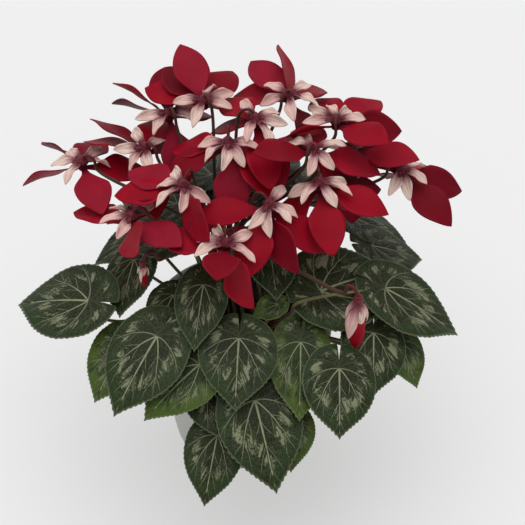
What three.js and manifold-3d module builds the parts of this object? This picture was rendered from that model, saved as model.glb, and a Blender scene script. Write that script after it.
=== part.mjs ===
// A cyclamen in a plain plastic pot: toothed heart-shaped leaves lie in tiers over a low dome,
// and a bunch of red blooms with pale lobes stands above them on thin stems.
// Millimetres, +Z up. The origin is the centre of the pot's flat underside.
// Angles in the lists are degrees seen from above, from +X towards +Y.

import * as THREE from "three";
import { mergeVertices } from "three/addons/utils/BufferGeometryUtils.js";
import Module from "manifold-3d";

const wasm = await Module();
wasm.setup();

// Pot, soil and tuber
const POT_HEIGHT = 91;
const POT_BASE_RADIUS = 39;
const POT_TOP_RADIUS = 52;
const POT_WALL = 1.6;
const POT_FLOOR = 2.4;
const POT_LIP = 2.2;
const POT_LIP_HEIGHT = 10;
const POT_FACETS = 30;
const DRAIN_COUNT = 6;
const DRAIN_RADIUS = 4;
const DRAIN_RING = 26;
const DRAIN_FACETS = 6;
const SOIL_TOP = 82;
const SOIL_HEAP = 0.3;
const SOIL_SHOULDER = 8;
const SOIL_FACETS = 14;
const TUBER_RADIUS = 21;
const TUBER_HALF_HEIGHT = 12;
const TUBER_CENTRE = 74;
const TUBER_FACETS = 16;
const GAP = 0.35;
const FOOT_GAP = 0.1;

// Leaves
const DOME_RADIUS = 140;
const DOME_EDGE = 85;
const DOME_RISE = 60;
const TIER = 6;
const LEAF_THICK = 0.8;
const LEAF_STEPS = 20;
const LEAF_CROWDING = 0.3;
const LEAF_WIDTH = 0.9;
const INNER_RING = 0.58;
const TOOTH = 0.025;
const LEAF_KEEL = 2.2;
const LEAF_ARCH = 2.6;
const LEAF_WAVE = 0.9;
const PETIOLE_RADIUS = 1.3;
const PETIOLE_RING = 14.5;
const PETIOLE_BEND_BACK = 9;
const PETIOLE_BEND_DROP = 17;
const PETIOLE_RIM_ROOM = 8;
const PETIOLE_STEPS = 6;
const LONG_PETIOLE_STEPS = 13;

// Blooms
const STEM_RADIUS = 1.1;
const STEM_SIDES = 5;
const STEM_STEPS = 8;
const COLUMN = [-8, 9];
const COLUMN_TOP = 162;
const COLUMN_SPREAD = 1.1;
const HOOK_REACH = 10;
const HOOK_RISE = 9;
const CALYX_RADIUS = 3.3;
const CALYX_DEPTH = 1.2;
const CALYX_SIDES = 6;
const BUD_SIDES = 7;
const HUB_DROP = 4.4;
const HUB_RADIUS = 2.8;
const LOBE = { start: 2.2, length: 18.5, width: 7.4, thick: 0.7, bow: 0.6 };
const LOBE_SWAY = 8;
const LOBE_SPREAD = 0.08;
const PETAL = { start: 1.4, length: 41, width: 21, thick: 0.7, bow: 1.4 };
const PETAL_ROOM = 0.4;
const NUDGE_STEP = 8;
const MOST_TURN = 40;
const MOST_TILT = 32;
const DROOP_RANGE = [-30, 75];

// Colours
const POT_GREY = 0xb9bab4;
const SOIL_BROWN = 0x3a2d24;
const TUBER_BROWN = 0x5a4332;
const LEAF_GREEN = 0x3f5240;
const LEAF_YOUNG = 0x5d7c3a;
const PETAL_RED = 0xa3122e;
const LOBE_PALE = 0xeeddd6;

// Leaves by the place of their notch: name, radius, angle, tier, heading of the tip, length,
// width, angle of the stalk's foot, 1 when young, and for a stalk that runs over its
// neighbours the point where it comes up between them
const LEAVES = [
  ["leaf_01", 86, -169, 2, 159, 58, 0.84, 174, 0],
  ["leaf_02", 60, 171, 1, -102, 40, 0.8, 162, 0],
  ["leaf_04", 75, -147, 0, -124, 38, 1, -162, 1],
  ["leaf_05", 66, -132, 2, -124, 51, 0.94, -150, 0],
  ["leaf_06", 67, -108, 1, -140, 44, 0.85, -126, 1],
  ["leaf_07", 32, -126, 3, -98, 40, 0.75, -138, 0],
  ["leaf_08", 54, -89, 2, -93, 41, 1.08, -90, 0],
  ["leaf_10", 80, -83, 0, -75, 53, 0.9, -78, 0],
  ["leaf_11", 91, -97, -2, -102, 40, 0.85, -102, 0],
  ["leaf_12", 90, -71, -1, -87, 28, 1, -66, 1],
  ["leaf_13", 85.5, -49, 2, -86, 40, 1.08, -18, 0],
  ["leaf_14", 61, -55, 1, -89, 46, 0.8, -54, 1],
  ["leaf_15", 84, -25, 1, -88, 38, 1.08, 6, 0],
  ["leaf_16", 84, -9, 3, -12, 54, 0.84, -30, 0, [33, -35, 155]],
  ["leaf_17", 51, -25, 2, 33, 55, 1.02, -6, 0],
  ["leaf_20", 18, -3, 3, -83, 35, 0.86, 30, 0],
  ["leaf_21", 40, -56, 2, -150, 17, 0.9, -42, 1],
  ["leaf_22", 70, -102, -1, -66, 36, 1, -114, 0],
  ["leaf_24", 97, -19, 0, -62, 28, 1, 18, 1],
  ["leaf_25", 40, -155, 0, -115, 27, 1, -174, 0],
];

// Sprays of back leaves on one foot: name, angle of the foot, then for each leaf its radius,
// angle, tier, heading, length and width
const SPRAYS = [
  ["spray_left", 150, [
    [64, 145, 0, -157, 38, 0.95],
    [58, 128, 2, 140, 44, 1],
    [36, 150, 2, -172, 34, 1],
  ]],
  ["spray_back", 95, [
    [60, 105, 4, 113, 45, 1],
    [61, 78, 5, 83, 45, 1],
    [37, 91, 3, 95, 36, 1],
  ]],
  ["spray_right", 46, [
    [82, 20, 1, 12, 38, 1],
    [83, 38, 1, -10, 40, 1],
    [62, 50, 4, 48, 44, 1],
  ]],
];

// Blooms: name, centre, side the stem comes up on, ring and angle of its foot, droop of the
// lobes, lobe angles, petals as [angle, droop, roll]
const BLOOMS = [
  ["bloom_15", [-6, -27, 196], 93, [4.2, -90], 12, [165, -155, -32, 30, 110],
    [[160, 2, 0], [-96, -26, 0], [-60, 6, 60], [60, 30, 0], [110, 42, 0]]],
  ["bloom_12", [45, 12, 202], 100, [10, -14], 18, [15, -20, -57, -128, -165],
    [[-79, 20, 0], [-18, 11, 0], [20, 15, 0], [135, 52, 0], [-150, 45, 0]]],
  ["bloom_13", [92, 38, 184], -164, [10, 7], 20, [-116, -73, -30, 35, 105],
    [[17, 27, 20], [-53, 11, 0], [124, 20, 0], [70, 35, 0], [100, 50, 0]]],
  ["bloom_10", [42, 28, 212], -118, [10, 49], 20, [-100, -42, 15, 115, 160],
    [[-170, -26, 0], [88, 8, 0], [0, 32, 0], [130, 30, 0], [-20, 72, 0]]],
  ["bloom_06", [-5, 31, 214], 90, [4.2, 90], 20, [-145, -98, -52, -8, 165],
    [[-82, 41, 0], [-36, 27, 0], [-155, 2, 0], [136, 20, 0], [50, 62, 0]]],
  ["bloom_17", [64, 44, 194], -154, [10, 28], 18, [-130, -82, 48, 95, 145],
    [[24, 17, 0], [-20, -16, 0], [46, 3, 0], [110, 45, 0], [-90, 60, 0]]],
  ["bloom_11", [55, 53, 208], -96, [10, 70], 14, [145, 60, -178, 102, 5],
    [[49, 6, 0], [13, 18, 35], [104, 22, 0], [-140, 10, 50], [-46, -20, 0]]],
  ["bloom_07", [10, 45, 218], 172, [4.2, 30], 18, [115, 40, -108, -60, -10],
    [[32, 15, 0], [-25, 10, 0], [102, 5, 0], [-100, 50, 0], [150, 40, 0]]],
  ["bloom_01", [-88, 46, 182], -25, [10, 175], 20, [175, -125, 118, 60, 5],
    [[132, 9, 55], [175, 28, 50], [-63, -4, 0], [8, 18, 0], [82, 26, 0]]],
  ["bloom_02", [-52, 47, 192], -41, [10, 154], 20, [178, -125, 115, 50, -78],
    [[150, -11, 40], [178, 12, 30], [80, 16, 0], [45, 34, 0], [-63, -6, 0]]],
  ["bloom_03", [-58, 1, 186], 9, [10, -164], 14, [98, 140, -120, 48, -172],
    [[152, 10, 10], [-83, -22, 50], [73, 31, 0], [-45, -8, 0], [110, 48, 0]]],
  ["bloom_16", [-29, 8, 204], 60, [4.2, -150], 22, [-150, -95, -25, 110, 170],
    [[-70, -2, 60], [-155, 15, 0], [120, 22, 0], [165, 35, 0], [20, 55, 0]]],
  ["bloom_14", [17, -6, 204], 149, [4.2, -30], 22, [-125, -88, -42, -5, 60],
    [[-74, 8, 60], [-150, 42, 0], [120, 72, 0], [-5, 50, 0], [170, 12, 0]]],
  ["bloom_05", [-19, 65, 212], -60, [10, 112], 14, [-110, -10, 172, 30, 65],
    [[102, -26, 0], [150, 26, 0], [66, 5, 0], [126, 4, 0], [10, 30, 0]]],
  ["bloom_09", [29, 69, 212], -122, [10, 91], 14, [-25, 50, 150, -170, -80],
    [[98, -6, 60], [122, 4, 0], [150, 24, 0], [58, 30, 0], [-20, 35, 0]]],
  ["bloom_04", [-39, 67, 200], -62, [10, 133], 12, [88, 28, -165, -122, -20],
    [[136, -14, 60], [148, 14, 50], [96, 0, 0], [50, 35, 0], [-95, 55, 0]]],
];

// Buds: name, centre, side the stem comes up on, ring and angle of its foot, length
const BUDS = [
  ["bud_left", [-52, -19, 170], 30, [10, -143], 20],
  ["bud_right", [65.5, -49, 176], 140, [10, -60], 43],
];

const deg = Math.PI / 180;
const V = (x, y, z) => new THREE.Vector3(x, y, z);
const polar = (radius, angle, z) => V(radius * Math.cos(angle * deg), radius * Math.sin(angle * deg), z);

// A closed triangle list with its vertices merged, as a solid for adding and subtracting
function solid(geometry) {
  const bare = geometry.index ? geometry.toNonIndexed() : geometry.clone();
  bare.deleteAttribute("normal");
  bare.deleteAttribute("uv");
  const merged = mergeVertices(bare, 1e-4);
  return new wasm.Manifold(new wasm.Mesh({
    numProp: 3,
    vertProperties: new Float32Array(merged.attributes.position.array),
    triVerts: new Uint32Array(merged.index.array),
  }));
}

function geometryOf(body) {
  const mesh = body.getMesh();
  const geometry = new THREE.BufferGeometry();
  geometry.setAttribute("position", new THREE.BufferAttribute(new Float32Array(mesh.vertProperties), 3));
  geometry.setIndex(new THREE.BufferAttribute(new Uint32Array(mesh.triVerts), 1));
  const flat = geometry.toNonIndexed();
  flat.computeVertexNormals();
  return flat;
}

function fuse(bodies) {
  return bodies.slice(1).reduce((whole, body) => whole.add(body), bodies[0]);
}

// A turned body from [radius, height] pairs that start and end on the axis
function turned(profile, facets) {
  const points = profile.map(([radius, z]) => new THREE.Vector2(radius, z));
  return solid(new THREE.LatheGeometry(points, facets).rotateX(Math.PI / 2));
}

// A round tube along a smooth path through the points
function tube(points, radius, steps) {
  const circle = new THREE.Shape();
  for (let i = 0; i < STEM_SIDES; i += 1) {
    const angle = (2 * Math.PI * i) / STEM_SIDES;
    const corner = [radius * Math.cos(angle), radius * Math.sin(angle)];
    if (i) circle.lineTo(...corner);
    else circle.moveTo(...corner);
  }
  circle.closePath();
  const path = new THREE.CatmullRomCurve3(points, false, "centripetal");
  const options = { steps, extrudePath: path, bevelEnabled: false };
  return solid(new THREE.ExtrudeGeometry(circle, options));
}

// A thin blade from rows of points on its upper face and the same rows on its lower face.
// Faces are index triples into the list of points, counter-clockwise from above; the rim is
// the loop of indices round the outline, counter-clockwise from above.
function blade(upper, lower, faces, rim) {
  const count = upper.length;
  const positions = [...upper, ...lower].flatMap((p) => [p.x, p.y, p.z]);
  const index = [];
  for (const [a, b, c] of faces) {
    index.push(a, b, c);
    index.push(count + a, count + c, count + b);
  }
  rim.forEach((a, i) => {
    const b = rim[(i + 1) % rim.length];
    index.push(a, count + b, b);
    index.push(a, count + a, count + b);
  });
  const geometry = new THREE.BufferGeometry();
  geometry.setAttribute("position", new THREE.BufferAttribute(new Float32Array(positions), 3));
  geometry.setIndex(index);
  return solid(geometry);
}

// Outer radius of the pot's tapered wall at a height
function wallRadius(z) {
  return POT_BASE_RADIUS + ((POT_TOP_RADIUS - POT_BASE_RADIUS) * z) / POT_HEIGHT;
}

// Pot: a tapered wall with a lip, open at the top, with drain holes in its floor
function potBody() {
  const underLip = POT_HEIGHT - POT_LIP_HEIGHT;
  let body = turned([
    [0, 0],
    [POT_BASE_RADIUS, 0],
    [wallRadius(underLip), underLip],
    [wallRadius(underLip) + POT_LIP, underLip + 1],
    [POT_TOP_RADIUS + POT_LIP, POT_HEIGHT],
    [POT_TOP_RADIUS - POT_WALL, POT_HEIGHT],
    [wallRadius(POT_FLOOR) - POT_WALL, POT_FLOOR],
    [0, POT_FLOOR],
  ], POT_FACETS);
  for (let i = 0; i < DRAIN_COUNT; i += 1) {
    const at = polar(DRAIN_RING, (360 * i) / DRAIN_COUNT, POT_FLOOR / 2);
    const hole = new THREE.CylinderGeometry(DRAIN_RADIUS, DRAIN_RADIUS, 3 * POT_FLOOR, DRAIN_FACETS);
    body = body.subtract(solid(hole.rotateX(Math.PI / 2)).translate(at.toArray()));
  }
  return body;
}

// Tuber: a flattened ball half sunk in the soil
function tuberBody() {
  const ball = new THREE.SphereGeometry(1, TUBER_FACETS, TUBER_FACETS / 2).rotateX(Math.PI / 2);
  ball.scale(TUBER_RADIUS, TUBER_RADIUS, TUBER_HALF_HEIGHT);
  return solid(ball.translate(0, 0, TUBER_CENTRE));
}

// Soil: fills the pot nearly to its rim, gently heaped, with a bowl where the tuber sits
function soilBody() {
  const bottom = POT_FLOOR + GAP;
  const brink = SOIL_TOP - 1;
  const inside = (z) => wallRadius(z) - POT_WALL - 1.5 * GAP;
  const bowlRadius = 1.05 * TUBER_RADIUS;
  const bowlDepth = 1.12 * TUBER_HALF_HEIGHT;
  const bowl = [20, 0, -30, -60].map((turn) => [
    bowlRadius * Math.cos(turn * deg),
    TUBER_CENTRE + bowlDepth * Math.sin(turn * deg),
  ]);
  return turned([
    [0, bottom],
    [inside(bottom), bottom],
    [inside(brink), brink],
    [inside(brink) - SOIL_SHOULDER, SOIL_TOP + SOIL_HEAP],
    [TUBER_RADIUS + 2, SOIL_TOP],
    ...bowl,
    [0, TUBER_CENTRE - bowlDepth],
  ], SOIL_FACETS);
}

// Height at which a stem of a given radius stands just clear of the tuber
function footHeight(ring, radius) {
  const share = Math.max(0, ring - radius) / TUBER_RADIUS;
  return TUBER_CENTRE + TUBER_HALF_HEIGHT * Math.sqrt(1 - share * share) + FOOT_GAP;
}

// The leaves lie on a dome: its height over the floor, and its outward direction
function domeHeight(radius) {
  return DOME_EDGE + DOME_RISE * (1 - (radius / DOME_RADIUS) ** 2);
}

// Leaf outline: distance from the notch to the edge at an angle from the midrib, in leaf
// lengths. A rounded heart with a short point at the tip and a cleft at the notch.
function leafEdge(angle) {
  const tip = 0.21 * Math.exp(-Math.abs(angle) / 0.26);
  const notch = 0.3 * Math.exp(-(((Math.PI - Math.abs(angle)) / 0.13) ** 2));
  return 0.54 + 0.18 * Math.cos(angle) + 0.02 * Math.cos(2 * angle) + tip - notch;
}

// Lays a flat leaf point, u along the midrib and v across it in leaf lengths, on its tier of
// the dome. The blade folds up a little from its midrib, and its edge arches down in waves.
function onDome(leaf, u, v) {
  const [radius, angle, tier, heading, length, width] = leaf;
  const base = polar(radius, angle, 0);
  const middle = base.clone().add(polar(0.4 * length, heading, 0));
  const outward = middle.clone().normalize();
  const slope = Math.atan((2 * DOME_RISE * middle.length()) / DOME_RADIUS ** 2);
  const along = polar(length, heading, 0);
  const across = LEAF_WIDTH * width * v;
  const offset = V(u * along.x - across * along.y, u * along.y + across * along.x, 0);
  const downhill = offset.dot(outward);
  offset.addScaledVector(outward, downhill * (Math.cos(slope) - 1));
  const at = base.add(offset);
  const reach = Math.hypot(u, v);
  const turn = Math.atan2(v, u);
  const wave = LEAF_WAVE * Math.sin(5 * turn + angle);
  const relief = LEAF_KEEL * Math.abs(v) + (wave - LEAF_ARCH) * reach ** 2;
  at.z = domeHeight(at.length()) + TIER * tier + relief;
  return at;
}

function domeNormal(at) {
  const steep = (2 * DOME_RISE) / DOME_RADIUS ** 2;
  return V(steep * at.x, steep * at.y, 1).normalize();
}

// A leaf blade: a fan round the notch to an inner ring, then a ring out to the toothed edge.
// The steps crowd together towards the tip and the notch.
function leafBlade(leaf) {
  const upper = [onDome(leaf, 0, 0)];
  const half = LEAF_STEPS / 2;
  const place = (step, share) => {
    const even = -Math.PI + (2 * Math.PI * step) / LEAF_STEPS;
    const angle = even - (LEAF_CROWDING / 2) * Math.sin(2 * even);
    const reach = share * leafEdge(angle);
    upper.push(onDome(leaf, reach * Math.cos(angle), reach * Math.sin(angle)));
  };
  for (let i = 0; i < half; i += 1) place(2 * i, INNER_RING);
  for (let i = 0; i < LEAF_STEPS; i += 1) place(i, i % 2 ? 1 - TOOTH : 1 + TOOTH);
  const lower = upper.map((p) => p.clone().addScaledVector(domeNormal(p), -LEAF_THICK));
  const faces = [];
  const rim = [];
  for (let i = 0; i < half; i += 1) {
    const inner = [1 + i, 1 + ((i + 1) % half)];
    const outer = [0, 1, 2].map((k) => 1 + half + ((2 * i + k) % LEAF_STEPS));
    faces.push([0, inner[0], inner[1]]);
    faces.push([inner[0], outer[0], outer[1]]);
    faces.push([inner[0], outer[1], inner[1]]);
    faces.push([inner[1], outer[1], outer[2]]);
    rim.push(outer[0], outer[1]);
  }
  return blade(upper, lower, faces, rim);
}

// A leaf stalk from the tuber to the notch: out under the tiers, then up into the blade
function petiole(leaf, slot, via) {
  const [, , tier, heading] = leaf;
  const top = onDome(leaf, 0.02, 0);
  const foot = polar(PETIOLE_RING, slot, footHeight(PETIOLE_RING, PETIOLE_RADIUS));
  const rise = polar(PETIOLE_RING + 1.5, slot, foot.z + 8);
  const end = top.clone().setZ(top.z - 0.3 * LEAF_THICK);
  if (via) {
    const through = V(...via);
    const under = through.clone().lerp(foot, 0.15).setZ(through.z - 14);
    const over = through.clone().lerp(end, 0.55).setZ(0);
    over.z = domeHeight(over.length()) + TIER * (tier - 0.1);
    return tube([foot, rise, under, through, over, end], PETIOLE_RADIUS, LONG_PETIOLE_STEPS);
  }
  const inward = top.clone().setZ(0).normalize().negate();
  const back = polar(-0.5, heading, 0).add(inward).normalize();
  const low = top.clone().addScaledVector(back, PETIOLE_BEND_BACK);
  low.z = Math.max(top.z - PETIOLE_BEND_DROP, POT_HEIGHT + PETIOLE_RIM_ROOM);
  const mid = foot.clone().lerp(low, 0.5);
  mid.z = foot.z + 0.62 * (low.z - foot.z);
  return tube([foot, rise, mid, low, end], PETIOLE_RADIUS, PETIOLE_STEPS);
}

// Petal and lobe outline: distance along as a share of the length, then half the width there
// as a share of half the full width. The petal is a narrow claw, then a broad pointed blade.
const PETAL_ROWS = [[0, 0.11], [0.22, 0.28], [0.45, 0.92], [0.75, 0.84]];
const LOBE_ROWS = [[0, 0.3], [0.5, 1]];

// A pointed blade that leaves a centre at an angle, droop and roll, bowed up along its length
function strap(centre, [angle, droop, roll], rows, { start, length, width, thick, bow }) {
  const ahead = polar(Math.cos(droop * deg), angle, -Math.sin(droop * deg));
  const side = polar(1, angle + 90, 0).applyAxisAngle(ahead, roll * deg);
  const up = ahead.clone().cross(side);
  const place = (share, across) => centre.clone()
    .addScaledVector(ahead, start + share * (length - start))
    .addScaledVector(side, (across * width) / 2)
    .addScaledVector(up, 4 * bow * share * (1 - share));
  const upper = rows.flatMap(([share, half]) => [place(share, -half), place(share, half)]);
  upper.push(place(1, 0));
  const lower = upper.map((p) => p.clone().addScaledVector(up, -thick));
  const tip = upper.length - 1;
  const faces = [[tip - 2, tip, tip - 1]];
  const right = [];
  const left = [];
  for (let near = 0; near < tip; near += 2) {
    right.push(near);
    left.unshift(near + 1);
    if (near + 2 < tip) {
      faces.push([near, near + 2, near + 3]);
      faces.push([near, near + 3, near + 1]);
    }
  }
  return blade(upper, lower, faces, [...right, tip, ...left]);
}

// Flower stem: up the column, out over the leaves, up beside the bloom and over in a hook
function flowerStem(at, sideAngle, [ring, footAngle]) {
  const foot = polar(ring, footAngle, footHeight(ring, STEM_RADIUS));
  const column = polar(COLUMN_SPREAD * ring, footAngle, COLUMN_TOP).add(V(COLUMN[0], COLUMN[1], 0));
  const halfway = foot.clone().lerp(column, 0.6);
  const side = polar(1, sideAngle, 0);
  const centre = V(...at);
  const beside = centre.clone().addScaledVector(side, HOOK_REACH);
  beside.z -= 3;
  const out = column.clone().lerp(beside, 0.55);
  out.z = column.z + 0.35 * (beside.z - column.z) + 5;
  const shoulder = centre.clone().addScaledVector(side, 0.75 * HOOK_REACH);
  shoulder.z += HOOK_RISE - 2;
  const crest = centre.clone().addScaledVector(side, 0.35 * HOOK_REACH);
  crest.z += HOOK_RISE;
  const end = centre.clone();
  end.z += 2.5;
  return tube([foot, halfway, column, out, beside, shoulder, crest, end], STEM_RADIUS, STEM_STEPS);
}

function calyx(at) {
  return turned([
    [0, -CALYX_DEPTH],
    [2.1, -CALYX_DEPTH],
    [CALYX_RADIUS, 0.8],
    [0, 4],
  ], CALYX_SIDES).translate(at);
}

// The upper part of a bloom: its stem, calyx and five pale lobes, no two of one droop and length
function bloomTop([, at, side, foot, droop, lobes]) {
  const centre = V(...at).setZ(at[2] + 1);
  const blades = lobes.map((angle, i) => {
    const sway = LOBE_SWAY * Math.sin(3.3 * i + at[0]);
    const length = LOBE.length * (1 + LOBE_SPREAD * Math.sin(2.1 * i + at[1]));
    return strap(centre, [angle, droop + sway, 0], LOBE_ROWS, { ...LOBE, length });
  });
  return fuse([flowerStem(at, side, foot), calyx(at), ...blades]);
}

// Small turns and tilts a petal may take from its listed place, the least first
const NUDGES = [];
for (let turn = -MOST_TURN; turn <= MOST_TURN; turn += NUDGE_STEP) {
  for (let tilt = -MOST_TILT; tilt <= MOST_TILT; tilt += NUDGE_STEP) NUDGES.push([turn, tilt]);
}
NUDGES.sort((a, b) => Math.hypot(...a) - Math.hypot(...b) || a[0] - b[0] || a[1] - b[1]);

// Every body placed so far with its box, which the petals keep clear of
const standing = [];

function isClear(body) {
  const box = body.boundingBox();
  const apart = (other) => [0, 1, 2].some((k) =>
    box.min[k] > other.box.max[k] || other.box.min[k] > box.max[k]);
  return standing.every((other) => apart(other) || body.intersect(other.body).isEmpty());
}

// Corolla: each petal takes the first nudge that leaves room between it and all that stands
function corolla([, at, , , , , petals]) {
  const centre = V(...at).setZ(at[2] - HUB_DROP);
  const hub = turned([
    [0, -2.8],
    [HUB_RADIUS, -0.4],
    [0, HUB_DROP - CALYX_DEPTH - GAP],
  ], CALYX_SIDES).translate(centre.toArray());
  const roomCentre = centre.clone().setZ(centre.z + PETAL_ROOM);
  const room = {
    ...PETAL,
    length: PETAL.length + 2 * PETAL_ROOM,
    width: PETAL.width + 2.5 * PETAL_ROOM,
    thick: PETAL.thick + 2 * PETAL_ROOM,
  };
  const parts = [hub];
  for (const [angle, droop, roll] of petals) {
    const settled = NUDGES
      .map(([turn, tilt]) => [angle + turn, droop + tilt, roll])
      .filter((pose) => pose[1] >= DROOP_RANGE[0] && pose[1] <= DROOP_RANGE[1])
      .find((pose) => isClear(strap(roomCentre, pose, PETAL_ROWS, room)));
    if (settled) parts.push(strap(centre, settled, PETAL_ROWS, PETAL));
  }
  return fuse(parts);
}

// Bud: calyx, half-open pale lobes and a pointed tip of folded petals, hanging from a hook.
// The profile is in bud lengths.
function budBody(at, length) {
  const profile = [
    [0, -1],
    [0.06, -0.87],
    [0.11, -0.66],
    [0.1, -0.45],
    [0.17, -0.24],
    [0.09, -0.02],
    [0, 0.15],
  ];
  const sized = profile.map(([radius, height]) => [radius * length, height * length]);
  return turned(sized, BUD_SIDES).translate(at);
}

const root = new THREE.Group();
root.name = "potted_cyclamen";

function addNode(name, body, color, roughness) {
  const material = new THREE.MeshStandardMaterial({ color, roughness, metalness: 0 });
  const mesh = new THREE.Mesh(geometryOf(body), material);
  mesh.name = name;
  root.add(mesh);
  standing.push({ body, box: body.boundingBox() });
}

addNode("pot", potBody(), POT_GREY, 0.5);
addNode("soil", soilBody(), SOIL_BROWN, 0.95);
addNode("tuber", tuberBody(), TUBER_BROWN, 0.9);

for (const [name, radius, angle, tier, heading, length, width, slot, young, via] of LEAVES) {
  const leaf = [radius, angle, tier, heading, length, width];
  const body = leafBlade(leaf).add(petiole(leaf, slot, via));
  addNode(name, body, young ? LEAF_YOUNG : LEAF_GREEN, 0.6);
}

for (const [name, slot, leaves] of SPRAYS) {
  const parts = leaves.flatMap((leaf) => [leafBlade(leaf), petiole(leaf, slot)]);
  addNode(name, fuse(parts), LEAF_GREEN, 0.6);
}

for (const [name, at, side, foot, length] of BUDS) {
  addNode(name, flowerStem(at, side, foot).add(budBody(at, length)), PETAL_RED, 0.55);
}

for (const bloom of BLOOMS) addNode(bloom[0] + "_lobes", bloomTop(bloom), LOBE_PALE, 0.55);
for (const bloom of BLOOMS) addNode(bloom[0] + "_petals", corolla(bloom), PETAL_RED, 0.5);

export default root;
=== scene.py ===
"""Dresses a potted cyclamen: toothed, silver-marked leaves on a low dome, red blooms with pale
lobes on hooked stems, two buds, and a plain pot with its soil and tuber.

Lengths in the lists and in the shape functions are millimetres, +Z up, from the centre of the
pot's underside; meshes are in metres. Angles are degrees seen from above, from +X towards +Y.
"""

import math
import random

import bmesh
import bpy
from bpy.props import FloatProperty, FloatVectorProperty, IntProperty, PointerProperty
from mathutils import Matrix, Quaternion, Vector, noise


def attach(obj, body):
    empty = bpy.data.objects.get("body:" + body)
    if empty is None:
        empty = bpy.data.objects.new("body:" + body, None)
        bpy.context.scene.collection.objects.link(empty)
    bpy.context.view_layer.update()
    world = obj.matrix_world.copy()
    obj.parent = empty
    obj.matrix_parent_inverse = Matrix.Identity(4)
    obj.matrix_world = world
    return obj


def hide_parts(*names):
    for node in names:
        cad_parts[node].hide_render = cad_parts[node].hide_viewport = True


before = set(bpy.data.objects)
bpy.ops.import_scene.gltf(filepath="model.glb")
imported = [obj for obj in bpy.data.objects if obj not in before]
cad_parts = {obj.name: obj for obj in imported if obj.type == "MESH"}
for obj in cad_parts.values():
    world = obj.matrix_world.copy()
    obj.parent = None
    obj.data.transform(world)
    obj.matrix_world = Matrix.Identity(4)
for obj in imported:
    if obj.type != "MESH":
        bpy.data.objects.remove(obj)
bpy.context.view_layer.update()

bl_info = {
    "name": "Potted cyclamen",
    "version": (1, 0, 0),
    "blender": (4, 5, 0),
    "location": "3D View > Sidebar > Cyclamen",
    "description": "Builds the leaves, blooms, buds, pot and soil of a potted cyclamen, and its stage",
    "category": "Add Mesh",
}

MM = 0.001

# Pot, soil and tuber, with the gap between them
POT_HEIGHT = 91
POT_BASE_RADIUS = 39
POT_TOP_RADIUS = 52
POT_WALL = 1.6
POT_FLOOR = 2.4
POT_LIP = 2.2
POT_LIP_HEIGHT = 10
DRAIN_COUNT = 6
DRAIN_RADIUS = 4
DRAIN_RING = 26
DRAIN_SIDES = 8
POT_STEPS = 128
SOIL_STEPS = 96
SOIL_TOP = 82
TUBER_RADIUS = 21
TUBER_HALF_HEIGHT = 12
TUBER_CENTRE = 74
GAP = 0.35
SOIL_LUMP = 0.7
SOIL_GRAIN = 0.4
SOIL_SINK = 0.3
CRUMB_SIZES = (0.5, 1.5)

# Leaves: the dome that they lie on and how a blade bends on it, the outline in leaf lengths and
# radians from the midrib, the veins, and the stalks
DOME_RADIUS = 140
DOME_EDGE = 85
DOME_RISE = 60
TIER = 6
LEAF_WIDTH = 0.9
LEAF_KEEL = 2.2
LEAF_ARCH = 2.6
LEAF_WAVE = 0.9
LEAF_WAVES = 5
LEAF_CROWDING = 0.3
LEAF_MIDDLE = 0.4
LEAF_MEAN = 0.54
LEAF_FORWARD = 0.18
LEAF_OVAL = 0.02
LEAF_TIP = 0.21
LEAF_TIP_SPAN = 0.26
LEAF_NOTCH = 0.3
LEAF_NOTCH_SPAN = 0.045
LEAF_RINGS = (0, 0.1, 0.22, 0.34, 0.46, 0.58, 0.69, 0.79, 0.88, 0.95, 1)
VEIN_SPACING = 0.8
VEIN_BEND = 0.75
VEIN_WIDTH = 0.0135
VEIN_TAPER = 0.0085
BRANCH_SPACING = 0.12
BRANCH_STRENGTH = 0.75
NET_SCALE = 26.0
NET_STRENGTH = 0.1
QUILT_DEPTH = 0.5
QUILT_SINK = 0.3
PETIOLE_RADIUS = 1.3
PETIOLE_RING = 14.5
PETIOLE_BEND_BACK = 9
PETIOLE_BEND_DROP = 17
PETIOLE_RIM_ROOM = 8
PETIOLE_LEAN = 1.5
PETIOLE_START_RISE = 8
PETIOLE_END_DROP = 0.9
PETIOLE_MID_RISE = 0.62
PETIOLE_STEPS = 7
LONG_PETIOLE_DIP = 14
LONG_PETIOLE_STEPS = 8
PETIOLE_TAPER = (1.05, 0.45)
STALK_SIDES = 10

# Blooms: stems and hooks, then lobes, sepals and petals. A taper is the share of the radius at
# the foot and what is lost of it on the way, and a claw, blade or shoulder is a share of the blade
STEM_RADIUS = 1.1
STEM_SIDES = 10
STEM_TAPER = (1.1, 0.441)
BUD_STEM_TAPER = (1.12, 0.196)
COLUMN = (-8, 9)
COLUMN_TOP = 162
COLUMN_SPREAD = 1.1
HOOK_REACH = 10
HOOK_RISE = 6.6
HOOK_SHOULDER_DROP = 1.6
HOOK_START_DROP = 3
HOOK_END_RISE = 2.5
STEM_ARCH = 5
STEM_STEPS = 7
HUB_DROP = 4.4
LOBE_LENGTH = 18.5
LOBE_START = 2.2
LOBE_SWAY = 8
LOBE_SPREAD = 0.08
LOBE_ROLL = 36
LOBE_RISE = 1
SEPAL_RISE = 1.9
SEPAL_TURN = 8
PETAL_LENGTH = 41
PETAL_START = 1.4
CLAW_WIDTH = 0.13
CLAW_END = 0.2
BLADE_START = 0.12
BLADE_SPREAD = 0.36
LOBE_FOOT = 0.34
SHOULDER = 0.5
RIPPLES = 9
SWERVE = 1.2
NUDGE_STEP = 8
MOST_TURN = 40
MOST_TILT = 32
TIP_SHARE = 0.97
TIP_NEAR = 0.4
TIP_APART = 1

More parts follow.
